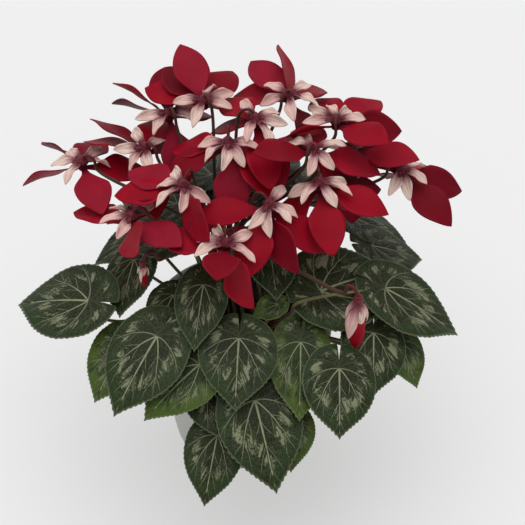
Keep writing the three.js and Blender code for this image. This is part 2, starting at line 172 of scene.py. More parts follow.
# Leaves by the place of their notch: name, radius, angle, tier, heading of the tip, length,
# width, angle of the stalk's foot, 1 when young, and for a stalk that runs over its
# neighbours the point where it comes up between them
LEAVES = [
    ("leaf_01", 86, -169, 2, 159, 58, 0.84, 174, 0, None),
    ("leaf_02", 60, 171, 1, -102, 40, 0.8, 162, 0, None),
    ("leaf_04", 75, -147, 0, -124, 38, 1, -162, 1, None),
    ("leaf_05", 66, -132, 2, -124, 51, 0.94, -150, 0, None),
    ("leaf_06", 67, -108, 1, -140, 44, 0.85, -126, 1, None),
    ("leaf_07", 32, -126, 3, -98, 40, 0.75, -138, 0, None),
    ("leaf_08", 54, -89, 2, -93, 41, 1.08, -90, 0, None),
    ("leaf_10", 80, -83, 0, -75, 53, 0.9, -78, 0, None),
    ("leaf_11", 91, -97, -2, -102, 40, 0.85, -102, 0, None),
    ("leaf_12", 90, -71, -1, -87, 28, 1, -66, 1, None),
    ("leaf_13", 85.5, -49, 2, -86, 40, 1.08, -18, 0, None),
    ("leaf_14", 61, -55, 1, -89, 46, 0.8, -54, 1, None),
    ("leaf_15", 84, -25, 1, -88, 38, 1.08, 6, 0, None),
    ("leaf_16", 84, -9, 3, -12, 54, 0.84, -30, 0, (33, -35, 155)),
    ("leaf_17", 51, -25, 2, 33, 55, 1.02, -6, 0, None),
    ("leaf_20", 18, -3, 3, -83, 35, 0.86, 30, 0, None),
    ("leaf_21", 40, -56, 2, -150, 17, 0.9, -42, 1, None),
    ("leaf_22", 70, -102, -1, -66, 36, 1, -114, 0, None),
    ("leaf_24", 97, -19, 0, -62, 28, 1, 18, 1, None),
    ("leaf_25", 40, -155, 0, -115, 27, 1, -174, 0, None),
]

# Sprays of back leaves on one foot: name, angle of the foot, then for each leaf its radius,
# angle, tier, heading, length and width
SPRAYS = [
    ("spray_left", 150, [
        (64, 145, 0, -157, 38, 0.95),
        (58, 128, 2, 140, 44, 1),
        (36, 150, 2, -172, 34, 1),
    ]),
    ("spray_back", 95, [
        (60, 105, 4, 113, 45, 1),
        (61, 78, 5, 83, 45, 1),
        (37, 91, 3, 95, 36, 1),
    ]),
    ("spray_right", 46, [
        (82, 20, 1, 12, 38, 1),
        (83, 38, 1, -10, 40, 1),
        (62, 50, 4, 48, 44, 1),
    ]),
]

# Blooms: name, centre, side the stem comes up on, ring and angle of its foot, droop of the
# lobes, lobe angles, petals as (angle, droop, roll)
BLOOMS = [
    ("bloom_15", (-6, -27, 196), 93, (4.2, -90), 12, (165, -155, -32, 30, 110),
     ((160, 2, 0), (-96, -26, 0), (-60, 6, 60), (60, 30, 0), (110, 42, 0))),
    ("bloom_12", (45, 12, 202), 100, (10, -14), 18, (15, -20, -57, -128, -165),
     ((-79, 20, 0), (-18, 11, 0), (20, 15, 0), (135, 52, 0), (-150, 45, 0))),
    ("bloom_13", (92, 38, 184), -164, (10, 7), 20, (-116, -73, -30, 35, 105),
     ((17, 27, 20), (-53, 11, 0), (124, 20, 0), (70, 35, 0), (100, 50, 0))),
    ("bloom_10", (42, 28, 212), -118, (10, 49), 20, (-100, -42, 15, 115, 160),
     ((-170, -26, 0), (88, 8, 0), (0, 32, 0), (130, 30, 0), (-20, 72, 0))),
    ("bloom_06", (-5, 31, 214), 90, (4.2, 90), 20, (-145, -98, -52, -8, 165),
     ((-82, 41, 0), (-36, 27, 0), (-155, 2, 0), (136, 20, 0), (50, 62, 0))),
    ("bloom_17", (64, 44, 194), -154, (10, 28), 18, (-130, -82, 48, 95, 145),
     ((24, 17, 0), (-20, -16, 0), (46, 3, 0), (110, 45, 0), (-90, 60, 0))),
    ("bloom_11", (55, 53, 208), -96, (10, 70), 14, (145, 60, -178, 102, 5),
     ((49, 6, 0), (13, 18, 35), (104, 22, 0), (-140, 10, 50), (-46, -20, 0))),
    ("bloom_07", (10, 45, 218), 172, (4.2, 30), 18, (115, 40, -108, -60, -10),
     ((32, 15, 0), (-25, 10, 0), (102, 5, 0), (-100, 50, 0), (150, 40, 0))),
    ("bloom_01", (-88, 46, 182), -25, (10, 175), 20, (175, -125, 118, 60, 5),
     ((132, 9, 55), (175, 28, 50), (-63, -4, 0), (8, 18, 0), (82, 26, 0))),
    ("bloom_02", (-52, 47, 192), -41, (10, 154), 20, (178, -125, 115, 50, -78),
     ((150, -11, 40), (178, 12, 30), (80, 16, 0), (45, 34, 0), (-63, -6, 0))),
    ("bloom_03", (-58, 1, 186), 9, (10, -164), 14, (98, 140, -120, 48, -172),
     ((152, 10, 10), (-83, -22, 50), (73, 31, 0), (-45, -8, 0), (110, 48, 0))),
    ("bloom_16", (-29, 8, 204), 60, (4.2, -150), 22, (-150, -95, -25, 110, 170),
     ((-70, -2, 60), (-155, 15, 0), (120, 22, 0), (165, 35, 0), (20, 55, 0))),
    ("bloom_14", (17, -6, 204), 149, (4.2, -30), 22, (-125, -88, -42, -5, 60),
     ((-74, 8, 60), (-150, 42, 0), (120, 72, 0), (-5, 50, 0), (170, 12, 0))),
    ("bloom_05", (-19, 65, 212), -60, (10, 112), 14, (-110, -10, 172, 30, 65),
     ((102, -26, 0), (150, 26, 0), (66, 5, 0), (126, 4, 0), (10, 30, 0))),
    ("bloom_09", (29, 69, 212), -122, (10, 91), 14, (-25, 50, 150, -170, -80),
     ((98, -6, 60), (122, 4, 0), (150, 24, 0), (58, 30, 0), (-20, 35, 0))),
    ("bloom_04", (-39, 67, 200), -62, (10, 133), 12, (88, 28, -165, -122, -20),
     ((136, -14, 60), (148, 14, 50), (96, 0, 0), (50, 35, 0), (-95, 55, 0))),
]

# Buds: name, centre, side the stem comes up on, ring and angle of its foot, length
BUDS = [
    ("bud_left", (-52, -19, 170), 30, (10, -143), 20),
    ("bud_right", (65.5, -49, 176), 140, (10, -60), 43),
]

# The photograph's camera: elevation, distance and lens, and the point it looks at
CAMERA_ELEVATION = 50
CAMERA_DISTANCE = 1200
CAMERA_LENS = 146
CAMERA_TARGET = (13.9, 0, 148)
SENSOR_WIDTH = 36

# The floor in metres, the overhead light's width and tilt in degrees, and what the camera
# sees behind the floor
FLOOR_REACH = 15
LIGHT_SPREAD = 70
LIGHT_TILT = (-8, -4)
SURROUNDINGS = (0.85, 0.85, 0.85, 1)

# Colours beside those in the settings, as red, green and blue
GROWN_MARGIN = (0.018, 0.036, 0.008)
YOUNG_MARGIN = (0.058, 0.10, 0.012)
UNDERSIDE_PURPLE = (0.075, 0.035, 0.045)
UNDERSIDE_GREEN = (0.06, 0.085, 0.045)
UNDERSIDE_VEIN = (0.2, 0.09, 0.09)
STALK_LOW = (0.09, 0.045, 0.03)
STALK_HIGH = (0.17, 0.18, 0.075)
STEM_LOW = (0.06, 0.05, 0.025)
PETAL_CLAW = (0.10, 0.002, 0.016)
LOBE_VEIN = (0.42, 0.12, 0.17)
LOBE_MIDDLE = (0.35, 0.1, 0.13)
SOIL_FLECK = (0.19, 0.13, 0.08)
TUBER_DARK = (0.05, 0.028, 0.017)
TUBER_LIGHT = (0.14, 0.085, 0.05)


# Settings

class LeafSettings(bpy.types.PropertyGroup):
    thickness: FloatProperty(name="Thickness", description="Thickness of a leaf blade",
                             default=0.0007, unit="LENGTH")
    steps: IntProperty(name="Teeth and gaps", description="Points round a leaf's edge",
                       default=132, min=40, max=240)
    tooth: FloatProperty(name="Tooth depth", description="Depth of a tooth as a share of the leaf",
                         default=0.014)
    dark: FloatVectorProperty(name="Dark green", description="Ground colour of a grown leaf",
                              default=(0.018, 0.026, 0.005), size=3, subtype="COLOR")
    young: FloatVectorProperty(name="Young green", description="Ground colour of a young leaf",
                               default=(0.024, 0.043, 0.008), size=3, subtype="COLOR")
    silver: FloatVectorProperty(name="Silver", description="Colour of the pale blotches",
                                default=(0.28, 0.30, 0.18), size=3, subtype="COLOR")
    vein: FloatVectorProperty(name="Vein", description="Colour of the veins",
                              default=(0.35, 0.38, 0.23), size=3, subtype="COLOR")


class BloomSettings(bpy.types.PropertyGroup):
    petal_thickness: FloatProperty(name="Petal thickness", description="Thickness of a petal",
                                   default=0.0006, unit="LENGTH")
    petal: FloatVectorProperty(name="Petal red", description="Ground colour of the petals",
                               default=(0.33, 0.001, 0.013), size=3, subtype="COLOR")
    lobe: FloatVectorProperty(name="Lobe", description="Colour of the pale lobes",
                              default=(0.88, 0.68, 0.58), size=3, subtype="COLOR")
    mauve: FloatVectorProperty(name="Mauve", description="Colour of the calyx and the lobes' veins",
                               default=(0.16, 0.024, 0.038), size=3, subtype="COLOR")
    stem: FloatVectorProperty(name="Stem", description="Colour of the flower stems",
                              default=(0.10, 0.018, 0.018), size=3, subtype="COLOR")


class PotSettings(bpy.types.PropertyGroup):
    plastic: FloatVectorProperty(name="Plastic", description="Colour of the pot",
                                 default=(0.47, 0.47, 0.44), size=3, subtype="COLOR")
    soil: FloatVectorProperty(name="Soil", description="Colour of the potting soil",
                              default=(0.035, 0.024, 0.017), size=3, subtype="COLOR")
    crumbs: IntProperty(name="Crumbs", description="Loose crumbs on the soil", default=260, min=0)


class StageSettings(bpy.types.PropertyGroup):
    floor: FloatVectorProperty(name="Floor", description="Colour of the floor",
                               default=(0.44, 0.44, 0.44), size=3, subtype="COLOR")
    glow: FloatProperty(name="Floor glow", description="Light that the table gives from below",
                        default=0.45)
    top: FloatProperty(name="Top light", description="Strength of the wide light overhead", default=1.75)
    around: FloatProperty(name="Light around", description="Strength of the light all round",
                          default=0.4)


# Shapes in millimetres

def polar(radius, angle, z=0.0):
    """The point at a radius and an angle round the pot's axis."""
    turn = math.radians(angle)
    return Vector((radius * math.cos(turn), radius * math.sin(turn), z))


def dome_height(radius):
    """Height of the leaves' dome over a point of the table."""
    return DOME_EDGE + DOME_RISE * (1 - (radius / DOME_RADIUS) ** 2)


def leaf_edge(angle):
    """Distance from the notch to the edge at an angle from the midrib, in leaf lengths."""
    tip = LEAF_TIP * math.exp(-abs(angle) / LEAF_TIP_SPAN)
    notch = LEAF_NOTCH * math.exp(-(((math.pi - abs(angle)) / LEAF_NOTCH_SPAN) ** 2))
    oval = LEAF_MEAN + LEAF_FORWARD * math.cos(angle) + LEAF_OVAL * math.cos(2 * angle)
    return oval + tip - notch


def on_dome(leaf, u, v):
    """Lays a flat leaf point on its tier of the dome, as the solid leaf lies."""
    radius, angle, tier, heading, length, width = leaf
    base = polar(radius, angle)
    middle = base + polar(LEAF_MIDDLE * length, heading)
    outward = middle.normalized()
    slope = math.atan(2 * DOME_RISE * middle.length / DOME_RADIUS ** 2)
    along = polar(length, heading)
    across = LEAF_WIDTH * width * v
    offset = Vector((u * along.x - across * along.y, u * along.y + across * along.x, 0))
    offset += outward * (offset.dot(outward) * (math.cos(slope) - 1))
    at = base + offset
    reach = math.hypot(u, v)
    wave = LEAF_WAVE * math.sin(LEAF_WAVES * math.atan2(v, u) + angle)
    relief = LEAF_KEEL * abs(v) + (wave - LEAF_ARCH) * reach ** 2
    at.z = dome_height(at.length) + TIER * tier + relief
    return at


def quilting(u, v):
    """Height of the blade between its veins: sunk along them and raised between."""
    reach = math.hypot(u, v)
    fan = abs(math.atan2(v, u)) * (1 + VEIN_BEND * reach)
    beside = abs((fan + VEIN_SPACING / 2) % VEIN_SPACING - VEIN_SPACING / 2)
    return QUILT_DEPTH * min(1, 9 * reach * beside) * min(1, 3 * reach) - QUILT_SINK


def smooth_path(points, steps):
    """Points along a centripetal curve through the given ones, some steps to each stretch."""
    ends = [2 * points[0] - points[1], *points, 2 * points[-1] - points[-2]]
    path = []
    for p0, p1, p2, p3 in zip(ends, ends[1:], ends[2:], ends[3:]):
        d0 = math.sqrt((p1 - p0).length)
        d1 = math.sqrt((p2 - p1).length)
        d2 = math.sqrt((p3 - p2).length)
        leave = ((p1 - p0) / d0 - (p2 - p0) / (d0 + d1) + (p2 - p1) / d1) * d1
        arrive = ((p2 - p1) / d1 - (p3 - p1) / (d1 + d2) + (p3 - p2) / d2) * d1
        for i in range(steps):
            t = i / steps
            square = t * t * (3 * (p2 - p1) - 2 * leave - arrive)
            cube = t ** 3 * (2 * (p1 - p2) + leave + arrive)
            path.append(p1 + t * leave + square + cube)
    path.append(points[-1])
    return path


def foot_height(ring, radius):
    """Height at which a stalk of some radius rests on the tuber."""
    share = max(0, ring - radius) / TUBER_RADIUS
    return TUBER_CENTRE + TUBER_HALF_HEIGHT * math.sqrt(1 - share * share)


def petiole_path(leaf, foot_angle, via):
    """A leaf stalk from the tuber to the notch: out under the tiers, then up into the blade."""
    tier, heading = leaf[2], leaf[3]
    top = on_dome(leaf, 0.02, 0)
    foot = polar(PETIOLE_RING, foot_angle, foot_height(PETIOLE_RING, PETIOLE_RADIUS))
    rise = polar(PETIOLE_RING + PETIOLE_LEAN, foot_angle, foot.z + PETIOLE_START_RISE)
    end = top - Vector((0, 0, PETIOLE_END_DROP))
    if via:
        through = Vector(via)
        under = through.lerp(foot, 0.15)
        under.z = through.z - LONG_PETIOLE_DIP
        over = through.lerp(end, 0.55)
        over.z = dome_height(over.xy.length) + TIER * (tier - 0.1)
        return smooth_path([foot, rise, under, through, over, end], LONG_PETIOLE_STEPS)
    inward = -Vector((top.x, top.y, 0)).normalized()
    back = (polar(-0.5, heading) + inward).normalized()
    low = top + PETIOLE_BEND_BACK * back
    low.z = max(top.z - PETIOLE_BEND_DROP, POT_HEIGHT + PETIOLE_RIM_ROOM)
    mid = foot.lerp(low, 0.5)
    mid.z = foot.z + PETIOLE_MID_RISE * (low.z - foot.z)
    return smooth_path([foot, rise, mid, low, end], PETIOLE_STEPS)


def stem_path(at, side_angle, foot_place):
    """Flower stem: up the column, out over the leaves, up beside the bloom and over in a hook."""
    ring, foot_angle = foot_place
    centre = Vector(at)
    side = polar(1, side_angle)
    foot = polar(ring, foot_angle, foot_height(ring, STEM_RADIUS))
    column = polar(COLUMN_SPREAD * ring, foot_angle, COLUMN_TOP) + Vector((*COLUMN, 0))
    beside = centre + HOOK_REACH * side - Vector((0, 0, HOOK_START_DROP))
    out = column.lerp(beside, 0.55)
    out.z = column.z + 0.35 * (beside.z - column.z) + STEM_ARCH
    shoulder = centre + 0.75 * HOOK_REACH * side + Vector((0, 0, HOOK_RISE - HOOK_SHOULDER_DROP))
    crest = centre + 0.35 * HOOK_REACH * side + Vector((0, 0, HOOK_RISE))
    end = centre + Vector((0, 0, HOOK_END_RISE))
    stops = [foot, foot.lerp(column, 0.6), column, out, beside, shoulder, crest, end]
    return smooth_path(stops, STEM_STEPS)


def blade_axes(angle, droop, roll):
    """Unit directions of a petal or lobe: ahead to its tip, to its side and up from its face."""
    ahead = polar(math.cos(math.radians(droop)), angle, -math.sin(math.radians(droop)))
    side = Quaternion(ahead, math.radians(roll)) @ polar(1, angle + 90)
    return ahead, side, ahead.cross(side)


def settled_petals(bloom):
    """The petals of a bloom where the solid corolla has them: each at the least nudge from its
    listed place at which the solid has a petal's tip."""
    name, at, petals = bloom[0], bloom[1], bloom[6]
    centre = Vector(at) - Vector((0, 0, HUB_DROP))
    nudges = [(turn, tilt)
              for turn in range(-MOST_TURN, MOST_TURN + 1, NUDGE_STEP)
              for tilt in range(-MOST_TILT, MOST_TILT + 1, NUDGE_STEP)]
    nudges.sort(key=lambda nudge: (math.hypot(*nudge), nudge))
    vertices = [v.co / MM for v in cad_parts[name + "_petals"].data.vertices]
    far = [co for co in vertices if (co - centre).length > TIP_SHARE * PETAL_LENGTH]
    taken = []
    found = []
    for angle, droop, roll in petals:
        for turn, tilt in nudges:
            tip = centre + PETAL_LENGTH * blade_axes(angle + turn, droop + tilt, roll)[0]
            solid_there = any((co - tip).length < TIP_NEAR for co in far)
            if solid_there and all((other - tip).length > TIP_APART for other in taken):
                taken.append(tip)
                found.append((angle + turn, droop + tilt, roll))
                break
    return found


# Mesh helpers

def spun(bm, profile, steps):
    """A body of revolution from (radius, height) pairs: closed where they start and end on the
    axis, and a flat disc where they share one height."""
    line = [bm.verts.new((radius, 0, height)) for radius, height in profile]
    edges = [bm.edges.new(pair) for pair in zip(line, line[1:])]
    bmesh.ops.spin(bm, geom=line + edges, cent=(0, 0, 0), axis=(0, 0, 1), dvec=(0, 0, 0),
                   angle=math.tau, steps=steps, use_merge=True, use_duplicate=False)
    bmesh.ops.remove_doubles(bm, verts=bm.verts, dist=1e-5)


def swept(bm, path, radii, sides):
    """A round stem along a path, one radius for each point, closed at both ends."""
    along = bm.verts.layers.float["along"]
    previous = None
    turned = None
    for i, (point, radius) in enumerate(zip(path, radii)):
        ahead = (path[min(i + 1, len(path) - 1)] - path[max(i - 1, 0)]).normalized()
        if turned is None:
            turned = ahead.to_track_quat("Z", "Y")
        else:
            turned = (turned @ Vector((0, 0, 1))).rotation_difference(ahead) @ turned
        place = Matrix.Translation(point) @ turned.to_matrix().to_4x4()
        ring = bmesh.ops.create_circle(bm, segments=sides, radius=radius, matrix=place)["verts"]
        for vert in ring:
            vert[along] = i / (len(path) - 1)
        edges = list({edge for vert in ring for edge in vert.link_edges})
        if previous:
            bmesh.ops.bridge_loops(bm, edges=previous + edges)
        if i in (0, len(path) - 1):
            bmesh.ops.holes_fill(bm, edges=edges)
        previous = edges


def tapered(radius, taper, path):
    """Radii along a path: a share of the radius at its foot, and what is lost of it on the way."""
    start, loss = taper
    return [radius * (start - loss * i / (len(path) - 1)) for i in range(len(path))]


def strap(bm, centre, pose, outline, size):
    """A thin blade that leaves a centre at an angle, droop and roll. Its outline gives half the
    width as a share at a share of the length; size holds start, length, width, bow, cup, wave,
    twist, seed and the number of rows and columns."""
    ahead, side, up = blade_axes(*pose)
    along = bm.verts.layers.float["along"]
    across_layer = bm.verts.layers.float["across"]
    tone_layer = bm.verts.layers.float["tone"]
    grid = bmesh.ops.create_grid(bm, x_segments=size["rows"], y_segments=size["columns"], size=0.5)
    made = grid["verts"]
    draw = random.Random(size["seed"])
    tone = draw.random()
    phase = draw.uniform(0, math.tau)
    bend = draw.uniform(-1, 1)
    for vert in made:
        share = vert.co.x + 0.5
        across = 2 * vert.co.y
        half = outline(share)
        edge = across * across
        lift = 4 * size["bow"] * share * (1 - share)
        lift += size["cup"] * edge * half
        ripple = math.sin(RIPPLES * share + phase + 1.4 * across)
        lift += size["wave"] * ripple * edge * half
        lift += size["twist"] * bend * across * half * share
        sideways = across * half * size["width"] / 2 + SWERVE * bend * size["twist"] * share * share
        reach = size["start"] + share * (size["length"] - size["start"])
        vert.co = centre + reach * ahead + sideways * side + lift * up
        vert[along] = share
        vert[across_layer] = across
        vert[tone_layer] = tone
    bmesh.ops.remove_doubles(bm, verts=made, dist=0.02)


def petal_outline(share):
    """A narrow claw, then a broad blade that rounds in to a short point."""
    claw = CLAW_WIDTH * (1 + min(1, share / CLAW_END))
    rise = min(1, max(0, (share - BLADE_START) / BLADE_SPREAD))
    blade = rise * rise * (3 - 2 * rise)
    fall = max(0, (share - SHOULDER) / (1 - SHOULDER))
    return (claw + (1 - claw) * blade) * max(0, 1 - fall ** 2.1) ** 0.93


def lobe_outline(share):
    """Widest in its middle, pointed at the tip."""
    rise = LOBE_FOOT + (1 - LOBE_FOOT) * math.sin(math.pi / 2 * min(1, share / SHOULDER))
    fall = max(0, (share - SHOULDER) / (1 - SHOULDER))
    return rise * max(0, 1 - fall ** 1.7) ** 0.9


def new_mesh():
    """An empty bmesh with the layers that the materials read."""
    bm = bmesh.new()
    for name in ("along", "across", "tone", "ring", "leaf"):
        bm.verts.layers.float.new(name)
    return bm


def finish_piece(name, bm, materials, nodes, closed=True):
    """Turns a bmesh in millimetres into a piece of the plant that stands for its solids."""
    if closed:
        bmesh.ops.recalc_face_normals(bm, faces=bm.faces)
    bmesh.ops.scale(bm, vec=(MM, MM, MM), verts=bm.verts)
    mesh = bpy.data.meshes.new(name)
    bm.to_mesh(mesh)
    bm.free()
    for polygon in mesh.polygons:
        polygon.use_smooth = True
    for material in materials:
        mesh.materials.append(material)
    piece = bpy.data.objects.new(name, mesh)
    bpy.context.scene.collection.objects.link(piece)
    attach(piece, "root")
    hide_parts(*nodes)
    return piece


def finish_sheet(name, bm, materials, nodes, thickness):
    """Finishes an open sheet that already faces up, and gives it its thickness below. A second
    material goes on its underside."""
    bm.normal_update()
    piece = finish_piece(name, bm, materials, nodes, closed=False)
    shell = piece.modifiers.new("thickness", "SOLIDIFY")
    shell.thickness = thickness
    shell.offset = -1
    shell.material_offset = len(materials) - 1
    shell.use_even_offset = False


# Shader helpers

def add_node(tree, kind, inputs=None, **settings):
    """Adds a node, sets its options, and fills each named input with a value or a link."""
    node = tree.nodes.new(kind)
    for key, value in settings.items():
        setattr(node, key, value)
    for key, value in (inputs or {}).items():
        if isinstance(value, bpy.types.NodeSocket):
            tree.links.new(value, node.inputs[key])
        else:
            node.inputs[key].default_value = value
    return node


def calc(tree, operation, *values, clamp=False):
    """A math node's result."""
    inputs = dict(enumerate(values))
    return add_node(tree, "ShaderNodeMath", inputs, operation=operation, use_clamp=clamp).outputs[0]


def blend(tree, mask, low, high):
    """Mixes two colours by a mask."""
    mix = add_node(tree, "ShaderNodeMix", data_type="RGBA")
    for index, value in ((0, mask), (6, low), (7, high)):
        if isinstance(value, bpy.types.NodeSocket):
            tree.links.new(value, mix.inputs[index])
        elif index:
            mix.inputs[index].default_value = (*value[:3], 1)
        else:
            mix.inputs[index].default_value = value
    return mix.outputs[2]


def ramp(tree, value, low, high, result_low=0.0, result_high=1.0):
    """A smooth step from one result to another while the value goes from low to high."""
    node = add_node(tree, "ShaderNodeMapRange", interpolation_type="SMOOTHSTEP")
    for index, part in enumerate((value, low, high, result_low, result_high)):
        if isinstance(part, bpy.types.NodeSocket):
            tree.links.new(part, node.inputs[index])
        else:
            node.inputs[index].default_value = part
    return node.outputs[0]


def noise_value(tree, vector, scale, detail=2.0, roughness=0.5, distortion=0.0):
    """A noise texture's value."""
    inputs = {"Vector": vector, "Scale": scale, "Detail": detail, "Roughness": roughness,
              "Distortion": distortion}
    return add_node(tree, "ShaderNodeTexNoise", inputs).outputs[0]


def attribute(tree, name):
    """The value of one of the mesh's own layers."""
    return add_node(tree, "ShaderNodeAttribute", attribute_name=name).outputs["Fac"]


def new_material(name):
    """A material with a Principled shader, and its tree and shader for further work."""
    material = bpy.data.materials.new(name)
    material.use_nodes = True
    tree = material.node_tree
    return material, tree, tree.nodes["Principled BSDF"]


def set_inputs(shader, **values):
    """Sets uniform values on a shader's sockets."""
    for key, value in values.items():
        socket = shader.inputs[key.replace("_", " ")]
        socket.default_value = (*value, 1) if isinstance(value, tuple) and len(value) == 3 else value


def add_bump(tree, shader, height, distance, strength=1.0):
    """Gives a shader a bumped normal."""
    inputs = {"Height": height, "Distance": distance, "Strength": strength}
    bump = add_node(tree, "ShaderNodeBump", inputs)
    tree.links.new(bump.outputs[0], shader.inputs["Normal"])


def new_group(name, inputs, outputs):
    """A shader node group with named float inputs and outputs, and its two end nodes."""
    group = bpy.data.node_groups.new(name, "ShaderNodeTree")
    for label, default in inputs:
        socket = group.interface.new_socket(label, in_out="INPUT", socket_type="NodeSocketFloat")
        socket.default_value = default
    for label in outputs:
        group.interface.new_socket(label, in_out="OUTPUT", socket_type="NodeSocketFloat")
    start = group.nodes.new("NodeGroupInput")
    end = group.nodes.new("NodeGroupOutput")
    return group, start, end


def leaf_pattern_group():
    """Veins, silver blotches and rim of a leaf, from its flat map and the ring attribute."""
    tree, start, end = new_group("Leaf pattern", [("Silver", 1.0)], ["Vein", "Silver", "Rim", "Height"])
    flat = add_node(tree, "ShaderNodeUVMap", uv_map="flat").outputs[0]
    parts = add_node(tree, "ShaderNodeSeparateXYZ", {0: flat})
    u, v = parts.outputs[0], parts.outputs[1]
    ring = attribute(tree, "ring")
    squares = calc(tree, "ADD", calc(tree, "MULTIPLY", u, u), calc(tree, "MULTIPLY", v, v))
    reach = calc(tree, "SQRT", squares)
    turn = calc(tree, "ABSOLUTE", calc(tree, "ARCTAN2", v, u))
    fan = calc(tree, "MULTIPLY", turn, calc(tree, "MULTIPLY_ADD", reach, VEIN_BEND, 1.0))
    wobble = calc(tree, "MULTIPLY", calc(tree, "SUBTRACT", noise_value(tree, flat, 7.0, 3.0), 0.5), 0.2)
    fan = calc(tree, "ADD", fan, calc(tree, "MULTIPLY", wobble, reach))
    beside = calc(tree, "PINGPONG", fan, VEIN_SPACING / 2)
    gap = calc(tree, "MULTIPLY", beside, reach)
    midrib = ramp(tree, turn, 0.1, 0.5, 1.7, 1.0)
    width = calc(tree, "MULTIPLY", calc(tree, "MULTIPLY_ADD", ring, -VEIN_TAPER, VEIN_WIDTH), midrib)
    main = ramp(tree, calc(tree, "DIVIDE", gap, width), 0.35, 1.15, 1.0, 0.0)
    main = calc(tree, "MULTIPLY", main, ramp(tree, turn, 0.8, 2.3, 1.0, 0.12))
    chevron = calc(tree, "SUBTRACT", reach, calc(tree, "MULTIPLY", gap, 1.2))
    chevron = calc(tree, "ADD", chevron, calc(tree, "MULTIPLY", wobble, 0.5))
    branch = ramp(tree, calc(tree, "PINGPONG", chevron, BRANCH_SPACING), 0.0025, 0.0085, 1.0, 0.0)
    branch = calc(tree, "MULTIPLY", branch, ramp(tree, reach, 0.12, 0.24))
    branch = calc(tree, "MULTIPLY", branch, ramp(tree, turn, 0.7, 1.9, 1.0, 0.25))
    branch = calc(tree, "MULTIPLY", branch, ramp(tree, beside, 0.5 * VEIN_SPACING, 0.3 * VEIN_SPACING))
    mesh_of_veins = {"Vector": flat, "Scale": NET_SCALE}
    cells = add_node(tree, "ShaderNodeTexVoronoi", mesh_of_veins, feature="DISTANCE_TO_EDGE").outputs[0]
    net = ramp(tree, cells, 0.02, 0.12, 1.0, 0.0)
    vein = calc(tree, "MAXIMUM", main, calc(tree, "MULTIPLY", branch, BRANCH_STRENGTH))
    vein = calc(tree, "MAXIMUM", vein, calc(tree, "MULTIPLY", net, NET_STRENGTH), clamp=True)
    vein = calc(tree, "MULTIPLY", vein, ramp(tree, ring, 0.8, 1.0, 1.0, 0.15))
    band = calc(tree, "MULTIPLY", ramp(tree, ring, 0.3, 0.6), ramp(tree, ring, 0.7, 0.92, 1.0, 0.0))
    fans = calc(tree, "MULTIPLY", fan, calc(tree, "SIGN", v))
    combed = add_node(tree, "ShaderNodeCombineXYZ", {0: calc(tree, "MULTIPLY", fans, 2.1),
                                                     1: calc(tree, "MULTIPLY", chevron, 6.0),
                                                     2: attribute(tree, "leaf")}).outputs[0]
    patches = noise_value(tree, combed, 1.0, 4.0, 0.65, 0.6)
    speckle = noise_value(tree, flat, 34.0, 2.0, 0.6)
    cloud = calc(tree, "ADD", patches, calc(tree, "MULTIPLY", calc(tree, "SUBTRACT", speckle, 0.5), 0.3))
    cloud = calc(tree, "ADD", cloud, calc(tree, "MULTIPLY", calc(tree, "SUBTRACT", band, 0.8), 0.3))
    silver = ramp(tree, cloud, 0.53, 0.66)
    silver = calc(tree, "MULTIPLY", silver, ramp(tree, gap, 0.008, 0.045))
    silver = calc(tree, "MULTIPLY", silver, start.outputs["Silver"], clamp=True)
    rim = ramp(tree, ring, 0.955, 1.0)
    sunk = calc(tree, "MULTIPLY", vein, 0.8)
    height = calc(tree, "SUBTRACT", calc(tree, "MULTIPLY", speckle, 0.35), sunk)
    height = calc(tree, "ADD", height, calc(tree, "MULTIPLY", cells, 0.8))
    for label, value in (("Vein", vein), ("Silver", silver), ("Rim", rim), ("Height", height)):
        tree.links.new(value, end.inputs[label])


def streak_group():
    """Fine streaks along a petal or lobe, from its along and across attributes."""
    tree, start, end = new_group("Streaks", [("Count", 14.0)], ["Along", "Across", "Streak", "Mottle"])
    along = attribute(tree, "along")
    across = attribute(tree, "across")
    place = add_node(tree, "ShaderNodeTexCoord").outputs["Object"]
    wide = calc(tree, "MULTIPLY", across, start.outputs["Count"])
    drawn_out = calc(tree, "MULTIPLY", along, 2.2)
    spread = add_node(tree, "ShaderNodeCombineXYZ", {0: wide, 1: drawn_out}).outputs[0]
    streak = noise_value(tree, spread, 1.0, 3.0, 0.6)
    mottle = noise_value(tree, place, 90.0, 2.0, 0.5)
    for label, value in (("Along", along), ("Across", across), ("Streak", streak), ("Mottle", mottle)):
        tree.links.new(value, end.inputs[label])


def use_group(tree, name, **inputs):
    """Places a group with its own values, and gives its outputs."""
    node = tree.nodes.new("ShaderNodeGroup")
    node.node_tree = bpy.data.node_groups[name]
    for key, value in inputs.items():
        node.inputs[key].default_value = value
    return node.outputs


# Materials

